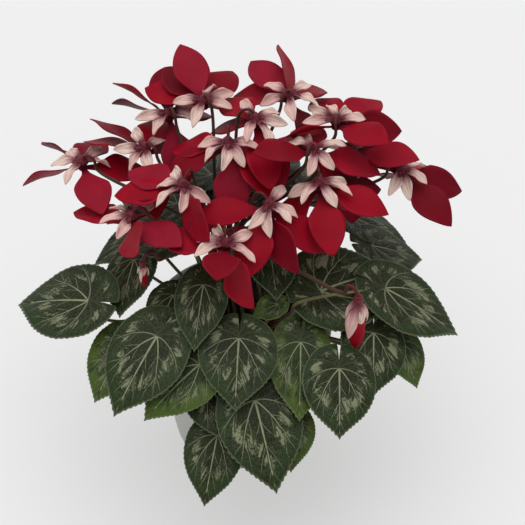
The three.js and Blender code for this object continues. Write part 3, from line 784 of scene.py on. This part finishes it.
def leaf_material(name, ground, margin, settings, silver):
    """A waxy leaf: green ground, silver blotches, pale veins and a fine light rim."""
    material, tree, shader = new_material(name)
    pattern = use_group(tree, "Leaf pattern", Silver=silver)
    place = add_node(tree, "ShaderNodeTexCoord").outputs["Object"]
    ring = attribute(tree, "ring")
    broad = noise_value(tree, place, 110.0, 3.0, 0.6)
    dark = tuple(0.6 * c for c in ground)
    colour = blend(tree, ramp(tree, broad, 0.35, 0.65), dark, ground)
    outer = calc(tree, "MULTIPLY_ADD", calc(tree, "SUBTRACT", broad, 0.5), 1.6, ring)
    colour = blend(tree, ramp(tree, outer, 0.55, 0.95), colour, margin)
    colour = blend(tree, calc(tree, "MULTIPLY", pattern["Silver"], 0.8), colour, settings.silver)
    colour = blend(tree, calc(tree, "MULTIPLY", pattern["Vein"], 0.85), colour, settings.vein)
    colour = blend(tree, calc(tree, "MULTIPLY", pattern["Rim"], 0.35), colour, settings.vein)
    tree.links.new(colour, shader.inputs["Base Color"])
    rough = calc(tree, "MULTIPLY_ADD", pattern["Silver"], 0.08, 0.46)
    tree.links.new(rough, shader.inputs["Roughness"])
    set_inputs(shader, Specular_IOR_Level=0.2)
    add_bump(tree, shader, pattern["Height"], 0.0005, 0.7)
    return material


def underside_material():
    """The dull underside of a leaf, flushed purple, with its veins raised."""
    material, tree, shader = new_material("Leaf underside")
    pattern = use_group(tree, "Leaf pattern", Silver=0.0)
    place = add_node(tree, "ShaderNodeTexCoord").outputs["Object"]
    cloud = noise_value(tree, place, 40.0, 3.0, 0.6)
    colour = blend(tree, ramp(tree, cloud, 0.35, 0.65), UNDERSIDE_PURPLE, UNDERSIDE_GREEN)
    colour = blend(tree, calc(tree, "MULTIPLY", pattern["Vein"], 0.7), colour, UNDERSIDE_VEIN)
    tree.links.new(colour, shader.inputs["Base Color"])
    set_inputs(shader, Roughness=0.62)
    add_bump(tree, shader, pattern["Vein"], 0.0005, 0.6)
    return material


def stalk_material(name, low, high):
    """A smooth round stalk that changes colour from its foot to its top."""
    material, tree, shader = new_material(name)
    place = add_node(tree, "ShaderNodeTexCoord").outputs["Object"]
    along = attribute(tree, "along")
    cloud = noise_value(tree, place, 160.0, 3.0, 0.6)
    shift = calc(tree, "ADD", along, calc(tree, "MULTIPLY", calc(tree, "SUBTRACT", cloud, 0.5), 0.6))
    colour = blend(tree, ramp(tree, shift, 0.25, 0.9), low, high)
    tree.links.new(colour, shader.inputs["Base Color"])
    set_inputs(shader, Roughness=0.5, Specular_IOR_Level=0.2)
    add_bump(tree, shader, cloud, 0.0003, 0.5)
    return material


def petal_material(settings):
    """Deep red velvet: each petal of its own tone, with faint streaks, a darker claw and a painted
    highlight that lightens its edges.
    """
    material, tree, shader = new_material("Petal")
    fine = use_group(tree, "Streaks", Count=7.0)
    tone = attribute(tree, "tone")
    red = settings.petal
    deep = (0.4 * red[0], 0.8 * red[1], 0.6 * red[2])
    # A dusty pink: a random tone of some petals, and also the colour of the painted highlight along the
    # petal edges
    dusty_and_edge_highlight = (0.95 * red[0], 0.012, 0.034)
    colour = blend(tree, ramp(tree, tone, 0.0, 0.45), deep, red)
    colour = blend(tree, ramp(tree, tone, 0.65, 1.0, 0.0, 0.85), colour, dusty_and_edge_highlight)
    shade = calc(tree, "ADD", fine["Mottle"], calc(tree, "MULTIPLY", fine["Streak"], 0.6))
    colour = blend(tree, ramp(tree, shade, 0.55, 1.05, 0.3, 0.0), colour, deep)
    # Painted highlight: each petal's edges are lightened towards the dusty pink
    edge = calc(tree, "ABSOLUTE", fine["Across"])
    colour = blend(tree, ramp(tree, edge, 0.75, 1.0, 0.0, 0.3), colour, dusty_and_edge_highlight)
    colour = blend(tree, ramp(tree, fine["Along"], 0.02, 0.26, 0.9, 0.0), colour, PETAL_CLAW)
    tree.links.new(colour, shader.inputs["Base Color"])
    tree.links.new(ramp(tree, fine["Streak"], 0.3, 0.7, 0.5, 0.6), shader.inputs["Roughness"])
    set_inputs(shader, Specular_IOR_Level=0.1)
    add_bump(tree, shader, fine["Streak"], 0.0005, 0.3)
    return material


def lobe_material(settings):
    """Blush cream with mauve veins that fade out towards the tip."""
    material, tree, shader = new_material("Lobe")
    fine = use_group(tree, "Streaks", Count=4.5)
    tone = attribute(tree, "tone")
    blush = (0.92 * settings.lobe[0], 0.74 * settings.lobe[1], 0.78 * settings.lobe[2])
    cream = blend(tree, ramp(tree, calc(tree, "ADD", tone, fine["Mottle"]), 0.5, 1.4), blush, settings.lobe)
    veins = ramp(tree, fine["Streak"], 0.44, 0.62)
    fade = ramp(tree, fine["Along"], 0.1, 0.95, 0.95, 0.12)
    colour = blend(tree, calc(tree, "MULTIPLY", veins, fade), cream, LOBE_VEIN)
    middle = ramp(tree, calc(tree, "ABSOLUTE", fine["Across"]), 0.02, 0.16, 0.5, 0.0)
    colour = blend(tree, calc(tree, "MULTIPLY", middle, fade), colour, LOBE_MIDDLE)
    colour = blend(tree, ramp(tree, fine["Along"], 0.1, 0.46, 0.95, 0.0), colour, settings.mauve)
    tree.links.new(colour, shader.inputs["Base Color"])
    set_inputs(shader, Roughness=0.55, Specular_IOR_Level=0.3)
    add_bump(tree, shader, fine["Streak"], 0.0006, 0.6)
    return material


def calyx_material(settings):
    """Mauve brown, mottled darker and lighter."""
    material, tree, shader = new_material("Calyx")
    place = add_node(tree, "ShaderNodeTexCoord").outputs["Object"]
    cloud = noise_value(tree, place, 420.0, 3.0, 0.6)
    dark = tuple(0.55 * c for c in settings.mauve)
    light = tuple(1.3 * c for c in settings.mauve)
    colour = blend(tree, ramp(tree, cloud, 0.35, 0.65), dark, light)
    tree.links.new(colour, shader.inputs["Base Color"])
    set_inputs(shader, Roughness=0.55, Specular_IOR_Level=0.2)
    add_bump(tree, shader, cloud, 0.0004, 0.5)
    return material


def plastic_material(settings):
    """Satin moulded plastic with a fine grain and faint handling marks."""
    material, tree, shader = new_material("Pot plastic")
    place = add_node(tree, "ShaderNodeTexCoord").outputs["Object"]
    grain = noise_value(tree, place, 900.0, 2.0, 0.5)
    smear = noise_value(tree, place, 30.0, 3.0, 0.6)
    base = settings.plastic
    colour = blend(tree, ramp(tree, smear, 0.3, 0.75), tuple(0.93 * c for c in base), base)
    tree.links.new(colour, shader.inputs["Base Color"])
    tree.links.new(ramp(tree, smear, 0.3, 0.7, 0.42, 0.55), shader.inputs["Roughness"])
    add_bump(tree, shader, grain, 0.0001, 0.5)
    return material


def soil_material(settings):
    """Dark peat with paler fibres and grains."""
    material, tree, shader = new_material("Potting soil")
    place = add_node(tree, "ShaderNodeTexCoord").outputs["Object"]
    lumps = noise_value(tree, place, 260.0, 5.0, 0.7)
    flecks = noise_value(tree, place, 900.0, 2.0, 0.6)
    dark = tuple(0.5 * c for c in settings.soil)
    colour = blend(tree, ramp(tree, lumps, 0.35, 0.65), dark, settings.soil)
    colour = blend(tree, ramp(tree, flecks, 0.68, 0.76, 0.0, 0.7), colour, SOIL_FLECK)
    tree.links.new(colour, shader.inputs["Base Color"])
    set_inputs(shader, Roughness=0.95)
    add_bump(tree, shader, lumps, 0.0015, 0.9)
    return material


def tuber_material():
    """Brown corky skin with fine cracks."""
    material, tree, shader = new_material("Tuber skin")
    place = add_node(tree, "ShaderNodeTexCoord").outputs["Object"]
    bark = noise_value(tree, place, 180.0, 5.0, 0.65)
    colour = blend(tree, ramp(tree, bark, 0.35, 0.65), TUBER_DARK, TUBER_LIGHT)
    tree.links.new(colour, shader.inputs["Base Color"])
    set_inputs(shader, Roughness=0.85)
    add_bump(tree, shader, bark, 0.001, 0.8)
    return material


# Pot, soil and tuber

def wall_radius(z):
    """Outer radius of the pot's tapered wall at a height."""
    return POT_BASE_RADIUS + (POT_TOP_RADIUS - POT_BASE_RADIUS) * z / POT_HEIGHT


class CYCLAMEN_OT_pot(bpy.types.Operator):
    """Build the tapered pot with its rolled lip and drain holes"""
    bl_idname = "cyclamen.pot"
    bl_label = "Pot"

    def execute(self, context):
        bm = new_mesh()
        under_lip = POT_HEIGHT - POT_LIP_HEIGHT
        wall = wall_radius(under_lip)
        lip = POT_TOP_RADIUS + POT_LIP
        mouth = POT_TOP_RADIUS - POT_WALL
        spun(bm, [
            (0, 0), (DRAIN_RING - 8, 0), (DRAIN_RING + 8, 0), (POT_BASE_RADIUS - 1, 0),
            (POT_BASE_RADIUS - 0.3, 0.3), (POT_BASE_RADIUS + 0.1, 1),
            (wall - 0.1, under_lip - 0.5), (wall + 0.5, under_lip),
            (wall + POT_LIP - 0.5, under_lip + 0.5), (wall + POT_LIP, under_lip + 1.2),
            (lip, POT_HEIGHT - 0.9), (lip - 0.25, POT_HEIGHT - 0.25), (lip - 0.9, POT_HEIGHT),
            (mouth + 0.6, POT_HEIGHT), (mouth + 0.1, POT_HEIGHT - 0.3), (mouth - 0.1, POT_HEIGHT - 1),
            (wall_radius(POT_FLOOR) - POT_WALL, POT_FLOOR), (0, POT_FLOOR),
        ], POT_STEPS)
        for i in range(DRAIN_COUNT):
            at = polar(DRAIN_RING, 360 * i / DRAIN_COUNT)
            self.pierce(bm, at)
        finish_piece("pot_shell", bm, [plastic_material(context.scene.cyclamen_pot)], ["pot"])
        return {"FINISHED"}

    def pierce(self, bm, at):
        """Cuts an eight-sided drain hole through the floor round a point."""
        normals = [polar(1, 360 * (k + 0.5) / DRAIN_SIDES) for k in range(DRAIN_SIDES)]
        for normal in normals:
            near = [f for f in bm.faces if f.calc_center_median().z < POT_FLOOR + 0.1
                    and (f.calc_center_median().xy - at.xy).length < 3.2 * DRAIN_RADIUS]
            edges = list({e for f in near for e in f.edges})
            verts = list({v for f in near for v in f.verts})
            bmesh.ops.bisect_plane(bm, geom=near + edges + verts, plane_co=at + DRAIN_RADIUS * normal,
                                   plane_no=normal)
        inside = [f for f in bm.faces if f.calc_center_median().z < POT_FLOOR + 0.1
                  and all((f.calc_center_median() - at).dot(normal) < DRAIN_RADIUS - 0.01
                          for normal in normals)]
        lower = [f for f in inside if f.calc_center_median().z < POT_FLOOR / 2]
        upper = [f for f in inside if f.calc_center_median().z >= POT_FLOOR / 2]
        rims = []
        for faces in (lower, upper):
            edges = {e for f in faces for e in f.edges}
            rims += [e for e in edges if sum(f in faces for f in e.link_faces) == 1]
        bmesh.ops.delete(bm, geom=inside, context="FACES")
        bmesh.ops.bridge_loops(bm, edges=[e for e in rims if e.is_valid])


class CYCLAMEN_OT_soil(bpy.types.Operator):
    """Build the crumbly soil and the half-sunk tuber"""
    bl_idname = "cyclamen.soil"
    bl_label = "Soil and tuber"

    def execute(self, context):
        settings = context.scene.cyclamen_pot
        soil = soil_material(settings)
        inside = wall_radius(SOIL_TOP - 1) - POT_WALL - 1.5 * GAP
        self.bed(soil, inside)
        self.crumbs(settings, soil, inside)
        self.tuber()
        return {"FINISHED"}

    def bed(self, soil, inside):
        """The body of soil, with a hollow for the tuber and a lumpy top."""
        bottom = POT_FLOOR + GAP
        inner = TUBER_RADIUS + 2
        surface = [(inner + (inside - 8 - inner) * k / 10, SOIL_TOP) for k in range(10, -1, -1)]
        bm = new_mesh()
        spun(bm, [
            (0, bottom), (wall_radius(bottom) - POT_WALL - 1.5 * GAP, bottom),
            (inside, SOIL_TOP - 1.4), *surface,
            (1.03 * TUBER_RADIUS, TUBER_CENTRE + 3.5), (1.05 * TUBER_RADIUS, TUBER_CENTRE),
            (0.9 * TUBER_RADIUS, TUBER_CENTRE - 6.7), (0.5 * TUBER_RADIUS, TUBER_CENTRE - 11.6),
            (0, TUBER_CENTRE - 13.4),
        ], SOIL_STEPS)
        for vert in bm.verts:
            if vert.co.z > SOIL_TOP - 0.5:
                lump = SOIL_LUMP * noise.noise(vert.co / 4)
                grain = SOIL_GRAIN * noise.noise(vert.co / 1.7)
                vert.co.z += lump + grain - SOIL_SINK
        finish_piece("soil_bed", bm, [soil], ["soil"])

    def crumbs(self, settings, soil, inside):
        """Scatters crumbs over the ring of soil between the tuber and the wall."""
        draw = random.Random(4)
        bm = new_mesh()
        for _ in range(settings.crumbs):
            size = draw.uniform(*CRUMB_SIZES)
            ring = draw.uniform(TUBER_RADIUS + 3, inside - 2)
            at = polar(ring, draw.uniform(0, 360), SOIL_TOP + 0.2 * size)
            turn = Quaternion((draw.uniform(-1, 1), draw.uniform(-1, 1), 1), draw.uniform(0, 6))
            place = Matrix.LocRotScale(at, turn, Vector((1, draw.uniform(0.6, 1), draw.uniform(0.5, 0.9))))
            bmesh.ops.create_icosphere(bm, subdivisions=1, radius=size, matrix=place)
        for vert in bm.verts:
            vert.co += 0.25 * noise.noise_vector(vert.co / 1.3)
        finish_piece("soil_crumbs", bm, [soil], ["soil"])

    def tuber(self):
        """The flattened corky body, a little rough."""
        bm = new_mesh()
        bmesh.ops.create_uvsphere(bm, u_segments=64, v_segments=32, radius=1)
        for vert in bm.verts:
            rough = 1 - 0.02 * abs(noise.noise(vert.co * 5)) - 0.015 * abs(noise.noise(vert.co * 14))
            vert.co *= rough
        bmesh.ops.scale(bm, vec=(TUBER_RADIUS, TUBER_RADIUS, TUBER_HALF_HEIGHT), verts=bm.verts)
        bmesh.ops.translate(bm, vec=(0, 0, TUBER_CENTRE), verts=bm.verts)
        finish_piece("tuber_body", bm, [tuber_material()], ["tuber"])


# Leaves

def add_blade(bm, leaf, settings):
    """One leaf blade as a sheet: rings round the notch, pulled out to the toothed edge."""
    flat = bm.loops.layers.uv["flat"]
    ring_layer = bm.verts.layers.float["ring"]
    leaf_layer = bm.verts.layers.float["leaf"]
    before = set(bm.verts)
    spun(bm, [(ring, 0) for ring in LEAF_RINGS], settings.steps)
    bm.normal_update()
    made = [vert for vert in bm.verts if vert not in before]
    places = {}
    for vert in made:
        ring = min(1, vert.co.length)
        even = math.atan2(vert.co.y, vert.co.x)
        step = round((even + math.pi) / math.tau * settings.steps)
        angle = even - LEAF_CROWDING / 2 * math.sin(2 * even)
        bite = settings.tooth * (0.6 + 0.8 * abs(noise.noise((4 * angle, leaf[1], 0))))
        tooth = bite * (-1 if step % 2 else 1) * max(0, (ring - 0.9) / 0.1)
        reach = ring * leaf_edge(angle) * (1 + tooth)
        u = reach * math.cos(angle)
        v = reach * math.sin(angle)
        at = on_dome(leaf, u, v)
        at.z += quilting(u, v)
        places[vert] = (u, v)
        vert[ring_layer] = ring
        vert[leaf_layer] = leaf[1]
        vert.co = at
    for face in {face for vert in made for face in vert.link_faces}:
        if face.normal.z < 0:
            face.normal_flip()
        for loop in face.loops:
            loop[flat].uv = places[loop.vert]


class CYCLAMEN_OT_leaves(bpy.types.Operator):
    """Build every leaf blade and stalk, the single leaves and the sprays behind"""
    bl_idname = "cyclamen.leaves"
    bl_label = "Leaves"

    def execute(self, context):
        settings = context.scene.cyclamen_leaf
        leaf_pattern_group()
        grown = leaf_material("Leaf", tuple(settings.dark), GROWN_MARGIN, settings, 1.0)
        young = leaf_material("Leaf young", tuple(settings.young), YOUNG_MARGIN, settings, 0.7)
        under = underside_material()
        stalk = stalk_material("Leaf stalk", STALK_LOW, STALK_HIGH)
        for name, *shape, foot_angle, is_young, via in LEAVES:
            blade = young if is_young else grown
            slot = "leaf_young" if is_young else "leaf"
            self.build(name, [tuple(shape)], foot_angle, via, (blade, under), stalk, slot)
        for name, foot_angle, shapes in SPRAYS:
            self.build(name, shapes, foot_angle, None, (grown, under), stalk, "leaf")
        return {"FINISHED"}

    def build(self, name, shapes, foot_angle, via, materials, stalk, slot):
        """The blades of one leaf or spray, then the stalks from their shared foot."""
        settings = bpy.context.scene.cyclamen_leaf
        bm = new_mesh()
        bm.loops.layers.uv.new("flat")
        for shape in shapes:
            add_blade(bm, shape, settings)
        finish_sheet(name + "_blade", bm, materials, [name], settings.thickness)
        bm = new_mesh()
        for shape in shapes:
            path = petiole_path(shape, foot_angle, via)
            swept(bm, path, tapered(PETIOLE_RADIUS, PETIOLE_TAPER, path), STALK_SIDES)
        finish_piece(name + "_stalk", bm, [stalk], [name])


# Blooms

SEPAL_SIZE = {"start": 1.5, "length": 7.5, "width": 3, "bow": 0.4, "cup": -0.4, "wave": 0.1,
              "twist": 0.2, "rows": 8, "columns": 4}
LOBE_SIZE = {"start": LOBE_START, "length": LOBE_LENGTH, "width": 6.1, "bow": 1.7, "cup": 1.5,
             "wave": 0.9, "twist": 0.8, "rows": 14, "columns": 8}
PETAL_SIZE = {"start": PETAL_START, "length": PETAL_LENGTH, "width": 20.5, "bow": 2.0, "cup": 1.0,
              "wave": 1.0, "twist": 1.1, "rows": 22, "columns": 12}
SEPAL_THICKNESS = 0.4

# Outlines of the round pieces as (radius, height): the bud's tip as shares of its length
CALYX_OUTLINE = [(0, -1.2), (1.6, -1.15), (2.3, -0.8), (3.1, 0.3), (3.2, 0.9), (2.8, 1.8),
                 (1.9, 3), (1.25, 4.2), (0, 4.6)]
HUB_OUTLINE = [(0, -2.8), (1.5, -2.2), (2.6, -1), (2.8, -0.3), (2.4, 1), (1.2, 2.3), (0, 2.85)]
BUD_CALYX_OUTLINE = [(0, -3.2), (1.6, -3.1), (2.6, -2), (2.9, -0.6), (2.5, 0.9), (1.5, 2.2), (0, 3)]
BUD_TIP_OUTLINE = [(0, -1), (0.025, -0.985), (0.055, -0.92), (0.085, -0.82), (0.105, -0.7),
                   (0.108, -0.58), (0.1, -0.45), (0.09, -0.3), (0.08, -0.15), (0, -0.1)]
CALYX_STEPS = 30
CALYX_RIB = 0.07
HUB_STEPS = 24
BUD_STEPS = 60
BUD_TWIST = 2.4
BUD_FOLD = 0.16
BUD_LOBES = 5
BUD_LOBE_DROOP = 76


def add_calyx(bm, centre):
    """The small ribbed calyx that the stem runs into."""
    spun(bm, CALYX_OUTLINE, CALYX_STEPS)
    for vert in bm.verts:
        rib = 1 + CALYX_RIB * math.cos(5 * math.atan2(vert.co.y, vert.co.x))
        vert.co.x *= rib
        vert.co.y *= rib
    bmesh.ops.translate(bm, vec=centre, verts=bm.verts)


class CYCLAMEN_OT_blooms(bpy.types.Operator):
    """Build every bloom: hooked stem, calyx, five pale lobes and the red petals"""
    bl_idname = "cyclamen.blooms"
    bl_label = "Blooms"

    def execute(self, context):
        settings = context.scene.cyclamen_bloom
        streak_group()
        petal = petal_material(settings)
        lobe = lobe_material(settings)
        calyx = calyx_material(settings)
        stem = stalk_material("Flower stem", STEM_LOW, tuple(settings.stem))
        for bloom in BLOOMS:
            self.build_top(bloom, stem, calyx, lobe, settings)
            self.build_corolla(bloom, petal, settings)
        return {"FINISHED"}

    def build_top(self, bloom, stem, calyx, lobe, settings):
        """The stem, the calyx with its sepals, and the star of pale lobes."""
        name, at, side, foot, droop, lobes, _ = bloom
        bm = new_mesh()
        path = stem_path(at, side, foot)
        swept(bm, path, tapered(STEM_RADIUS, STEM_TAPER, path), STEM_SIDES)
        finish_piece(name + "_stem", bm, [stem], [name + "_lobes"])
        bm = new_mesh()
        add_calyx(bm, Vector(at))
        finish_piece(name + "_calyx", bm, [calyx], [name + "_lobes"])
        sways = [LOBE_SWAY * math.sin(3.3 * i + at[0]) for i in range(len(lobes))]
        self.build_sepals(bloom, sways, calyx)
        bm = new_mesh()
        centre = Vector(at) + Vector((0, 0, LOBE_RISE))
        for i, (angle, sway) in enumerate(zip(lobes, sways)):
            length = LOBE_LENGTH * (1 + LOBE_SPREAD * math.sin(2.1 * i + at[1]))
            size = {**LOBE_SIZE, "length": length, "seed": name + str(i)}
            roll = LOBE_ROLL * math.sin(2.7 * i + at[0])
            strap(bm, centre, (angle, droop + sway, roll), lobe_outline, size)
        finish_sheet(name + "_star", bm, [lobe], [name + "_lobes"], settings.petal_thickness)

    def build_sepals(self, bloom, sways, calyx):
        """Five small sepals that lie on the lobes."""
        name, at, droop, lobes = bloom[0], bloom[1], bloom[4], bloom[5]
        bm = new_mesh()
        centre = Vector(at) + Vector((0, 0, SEPAL_RISE))
        for i, (angle, sway) in enumerate(zip(lobes, sways)):
            size = {**SEPAL_SIZE, "seed": name + str(i)}
            strap(bm, centre, (angle + SEPAL_TURN, droop + sway, 0), lobe_outline, size)
        finish_sheet(name + "_sepals", bm, [calyx], [name + "_lobes"], SEPAL_THICKNESS * MM)

    def build_corolla(self, bloom, petal, settings):
        """The red petals, and the small hub that they grow from."""
        name, at = bloom[0], bloom[1]
        centre = Vector(at) - Vector((0, 0, HUB_DROP))
        bm = new_mesh()
        for i, pose in enumerate(settled_petals(bloom)):
            size = {**PETAL_SIZE, "seed": name + "petal" + str(i)}
            strap(bm, centre, pose, petal_outline, size)
        finish_sheet(name + "_corolla", bm, [petal], [name + "_petals"], settings.petal_thickness)
        bm = new_mesh()
        spun(bm, HUB_OUTLINE, HUB_STEPS)
        bmesh.ops.translate(bm, vec=centre, verts=bm.verts)
        finish_piece(name + "_hub", bm, [petal], [name + "_petals"])


class CYCLAMEN_OT_buds(bpy.types.Operator):
    """Build the two nodding buds with their stems"""
    bl_idname = "cyclamen.buds"
    bl_label = "Buds"

    def execute(self, context):
        settings = context.scene.cyclamen_bloom
        materials = bpy.data.materials
        for name, at, side, foot, length in BUDS:
            bm = new_mesh()
            path = stem_path(at, side, foot)
            swept(bm, path, tapered(STEM_RADIUS, BUD_STEM_TAPER, path), STEM_SIDES)
            finish_piece(name + "_stem", bm, [materials["Flower stem"]], [name])
            self.build_tip(name, Vector(at), length)
            self.build_lobes(name, Vector(at), length, settings)
        return {"FINISHED"}

    def build_tip(self, name, at, length):
        """The rolled petals, a spindle with five twisted furrows, and the calyx over them."""
        bm = new_mesh()
        spun(bm, [(radius * length, height * length) for radius, height in BUD_TIP_OUTLINE], BUD_STEPS)
        along = bm.verts.layers.float["along"]
        tone = bm.verts.layers.float["tone"]
        for vert in bm.verts:
            drop = -vert.co.z / length
            turn = math.atan2(vert.co.y, vert.co.x) + BUD_TWIST * drop
            fold = 1 + BUD_FOLD * (abs(math.sin(2.5 * turn)) - 0.6) * min(1, 2 * drop)
            vert.co.x *= fold
            vert.co.y *= fold
            vert[along] = 0.3 + 0.7 * drop
            vert[tone] = 0.5
        bmesh.ops.translate(bm, vec=at, verts=bm.verts)
        finish_piece(name + "_tip", bm, [bpy.data.materials["Petal"]], [name])
        bm = new_mesh()
        scale = 0.5 + length / 80
        spun(bm, [(radius * scale, height * scale) for radius, height in BUD_CALYX_OUTLINE], HUB_STEPS)
        bmesh.ops.translate(bm, vec=at, verts=bm.verts)
        finish_piece(name + "_calyx", bm, [bpy.data.materials["Calyx"]], [name])

    def build_lobes(self, name, at, length, settings):
        """Five pale lobes that hang half open over the rolled petals."""
        bm = new_mesh()
        size = {**LOBE_SIZE, "start": 0.04 * length, "width": 0.17 * length, "bow": 0.07 * length,
                "cup": -0.04 * length, "wave": 0.5, "twist": 0.9}
        for i in range(BUD_LOBES):
            reach = length * (0.56 + 0.1 * math.sin(2.6 * i))
            pose = (360 * i / BUD_LOBES + 20, BUD_LOBE_DROOP + 5 * math.sin(1.9 * i), 0)
            strap(bm, at, pose, lobe_outline, {**size, "length": reach, "seed": name + str(i)})
        lobe = bpy.data.materials["Lobe"]
        finish_sheet(name + "_lobes", bm, [lobe], [name], settings.petal_thickness)


# Stage

class CYCLAMEN_OT_stage(bpy.types.Operator):
    """Lay the pale floor and set the soft lights and the camera"""
    bl_idname = "cyclamen.stage"
    bl_label = "Floor, lights and camera"

    def execute(self, context):
        settings = context.scene.cyclamen_stage
        self.floor(settings)
        self.lights(settings)
        self.camera()
        context.scene.view_settings.view_transform = "Standard"
        return {"FINISHED"}

    def floor(self, settings):
        """A pale floor that glows a little, as a lit table does."""
        material, tree, shader = new_material("Floor paper")
        place = add_node(tree, "ShaderNodeTexCoord").outputs["Object"]
        grain = noise_value(tree, place, 400.0, 2.0, 0.5)
        colour = blend(tree, grain, tuple(0.985 * c for c in settings.floor), settings.floor)
        tree.links.new(colour, shader.inputs["Base Color"])
        set_inputs(shader, Roughness=0.9, Emission_Color=(1.0, 1.0, 1.0), Emission_Strength=settings.glow)
        bm = bmesh.new()
        bmesh.ops.create_grid(bm, x_segments=2, y_segments=2, size=FLOOR_REACH)
        mesh = bpy.data.meshes.new("floor")
        bm.to_mesh(mesh)
        bm.free()
        mesh.materials.append(material)
        floor = bpy.data.objects.new("floor", mesh)
        bpy.context.scene.collection.objects.link(floor)

    def lights(self, settings):
        """A wide light overhead, a little from behind, and an even light all round. The camera
        sees the surroundings as pale as the floor."""
        world = bpy.data.worlds.new("Studio")
        world.use_nodes = True
        tree = world.node_tree
        white = {"Color": (1, 1, 1, 1), "Strength": settings.around}
        lit = add_node(tree, "ShaderNodeBackground", white)
        seen = add_node(tree, "ShaderNodeBackground", {"Color": SURROUNDINGS, "Strength": 1})
        ray = add_node(tree, "ShaderNodeLightPath").outputs["Is Camera Ray"]
        both = add_node(tree, "ShaderNodeMixShader", {0: ray})
        tree.links.new(lit.outputs[0], both.inputs[1])
        tree.links.new(seen.outputs[0], both.inputs[2])
        tree.links.new(both.outputs[0], tree.nodes["World Output"].inputs["Surface"])
        bpy.context.scene.world = world
        lamp = bpy.data.lights.new("overhead", "SUN")
        lamp.energy = settings.top
        lamp.angle = math.radians(LIGHT_SPREAD)
        light = bpy.data.objects.new("overhead", lamp)
        light.rotation_euler = (*map(math.radians, LIGHT_TILT), 0)
        bpy.context.scene.collection.objects.link(light)

    def camera(self):
        """The photograph's view, from the front and above."""
        lens = bpy.data.cameras.new("camera")
        lens.lens = CAMERA_LENS
        lens.sensor_width = SENSOR_WIDTH
        camera = bpy.data.objects.new("camera", lens)
        rise = math.radians(CAMERA_ELEVATION)
        back = Vector((0, -math.cos(rise), math.sin(rise)))
        camera.location = (Vector(CAMERA_TARGET) + CAMERA_DISTANCE * back) * MM
        camera.rotation_euler = (-back).to_track_quat("-Z", "Y").to_euler()
        bpy.context.scene.collection.objects.link(camera)
        bpy.context.scene.camera = camera


class CYCLAMEN_PT_panel(bpy.types.Panel):
    """Buttons and settings for the plant"""
    bl_label = "Cyclamen"
    bl_idname = "CYCLAMEN_PT_panel"
    bl_space_type = "VIEW_3D"
    bl_region_type = "UI"
    bl_category = "Cyclamen"

    def draw(self, context):
        for operator in OPERATORS:
            self.layout.operator(operator.bl_idname)
        for name, _ in SETTINGS:
            group = getattr(context.scene, name)
            for key in group.bl_rna.properties.keys():
                if key not in ("rna_type", "name"):
                    self.layout.prop(group, key)


SETTINGS = [
    ("cyclamen_leaf", LeafSettings),
    ("cyclamen_bloom", BloomSettings),
    ("cyclamen_pot", PotSettings),
    ("cyclamen_stage", StageSettings),
]
OPERATORS = [CYCLAMEN_OT_pot, CYCLAMEN_OT_soil, CYCLAMEN_OT_leaves, CYCLAMEN_OT_blooms,
             CYCLAMEN_OT_buds, CYCLAMEN_OT_stage]


def register():
    for name, group in SETTINGS:
        bpy.utils.register_class(group)
        setattr(bpy.types.Scene, name, PointerProperty(type=group))
    for cls in (*OPERATORS, CYCLAMEN_PT_panel):
        bpy.utils.register_class(cls)


def unregister():
    for cls in (CYCLAMEN_PT_panel, *reversed(OPERATORS)):
        bpy.utils.unregister_class(cls)
    for name, group in reversed(SETTINGS):
        delattr(bpy.types.Scene, name)
        bpy.utils.unregister_class(group)


def main():
    """Registers the add-on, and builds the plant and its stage."""
    register()
    bpy.ops.cyclamen.pot()
    bpy.ops.cyclamen.soil()
    bpy.ops.cyclamen.leaves()
    bpy.ops.cyclamen.blooms()
    bpy.ops.cyclamen.buds()
    bpy.ops.cyclamen.stage()
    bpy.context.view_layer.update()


if __name__ == "__main__":
    main()
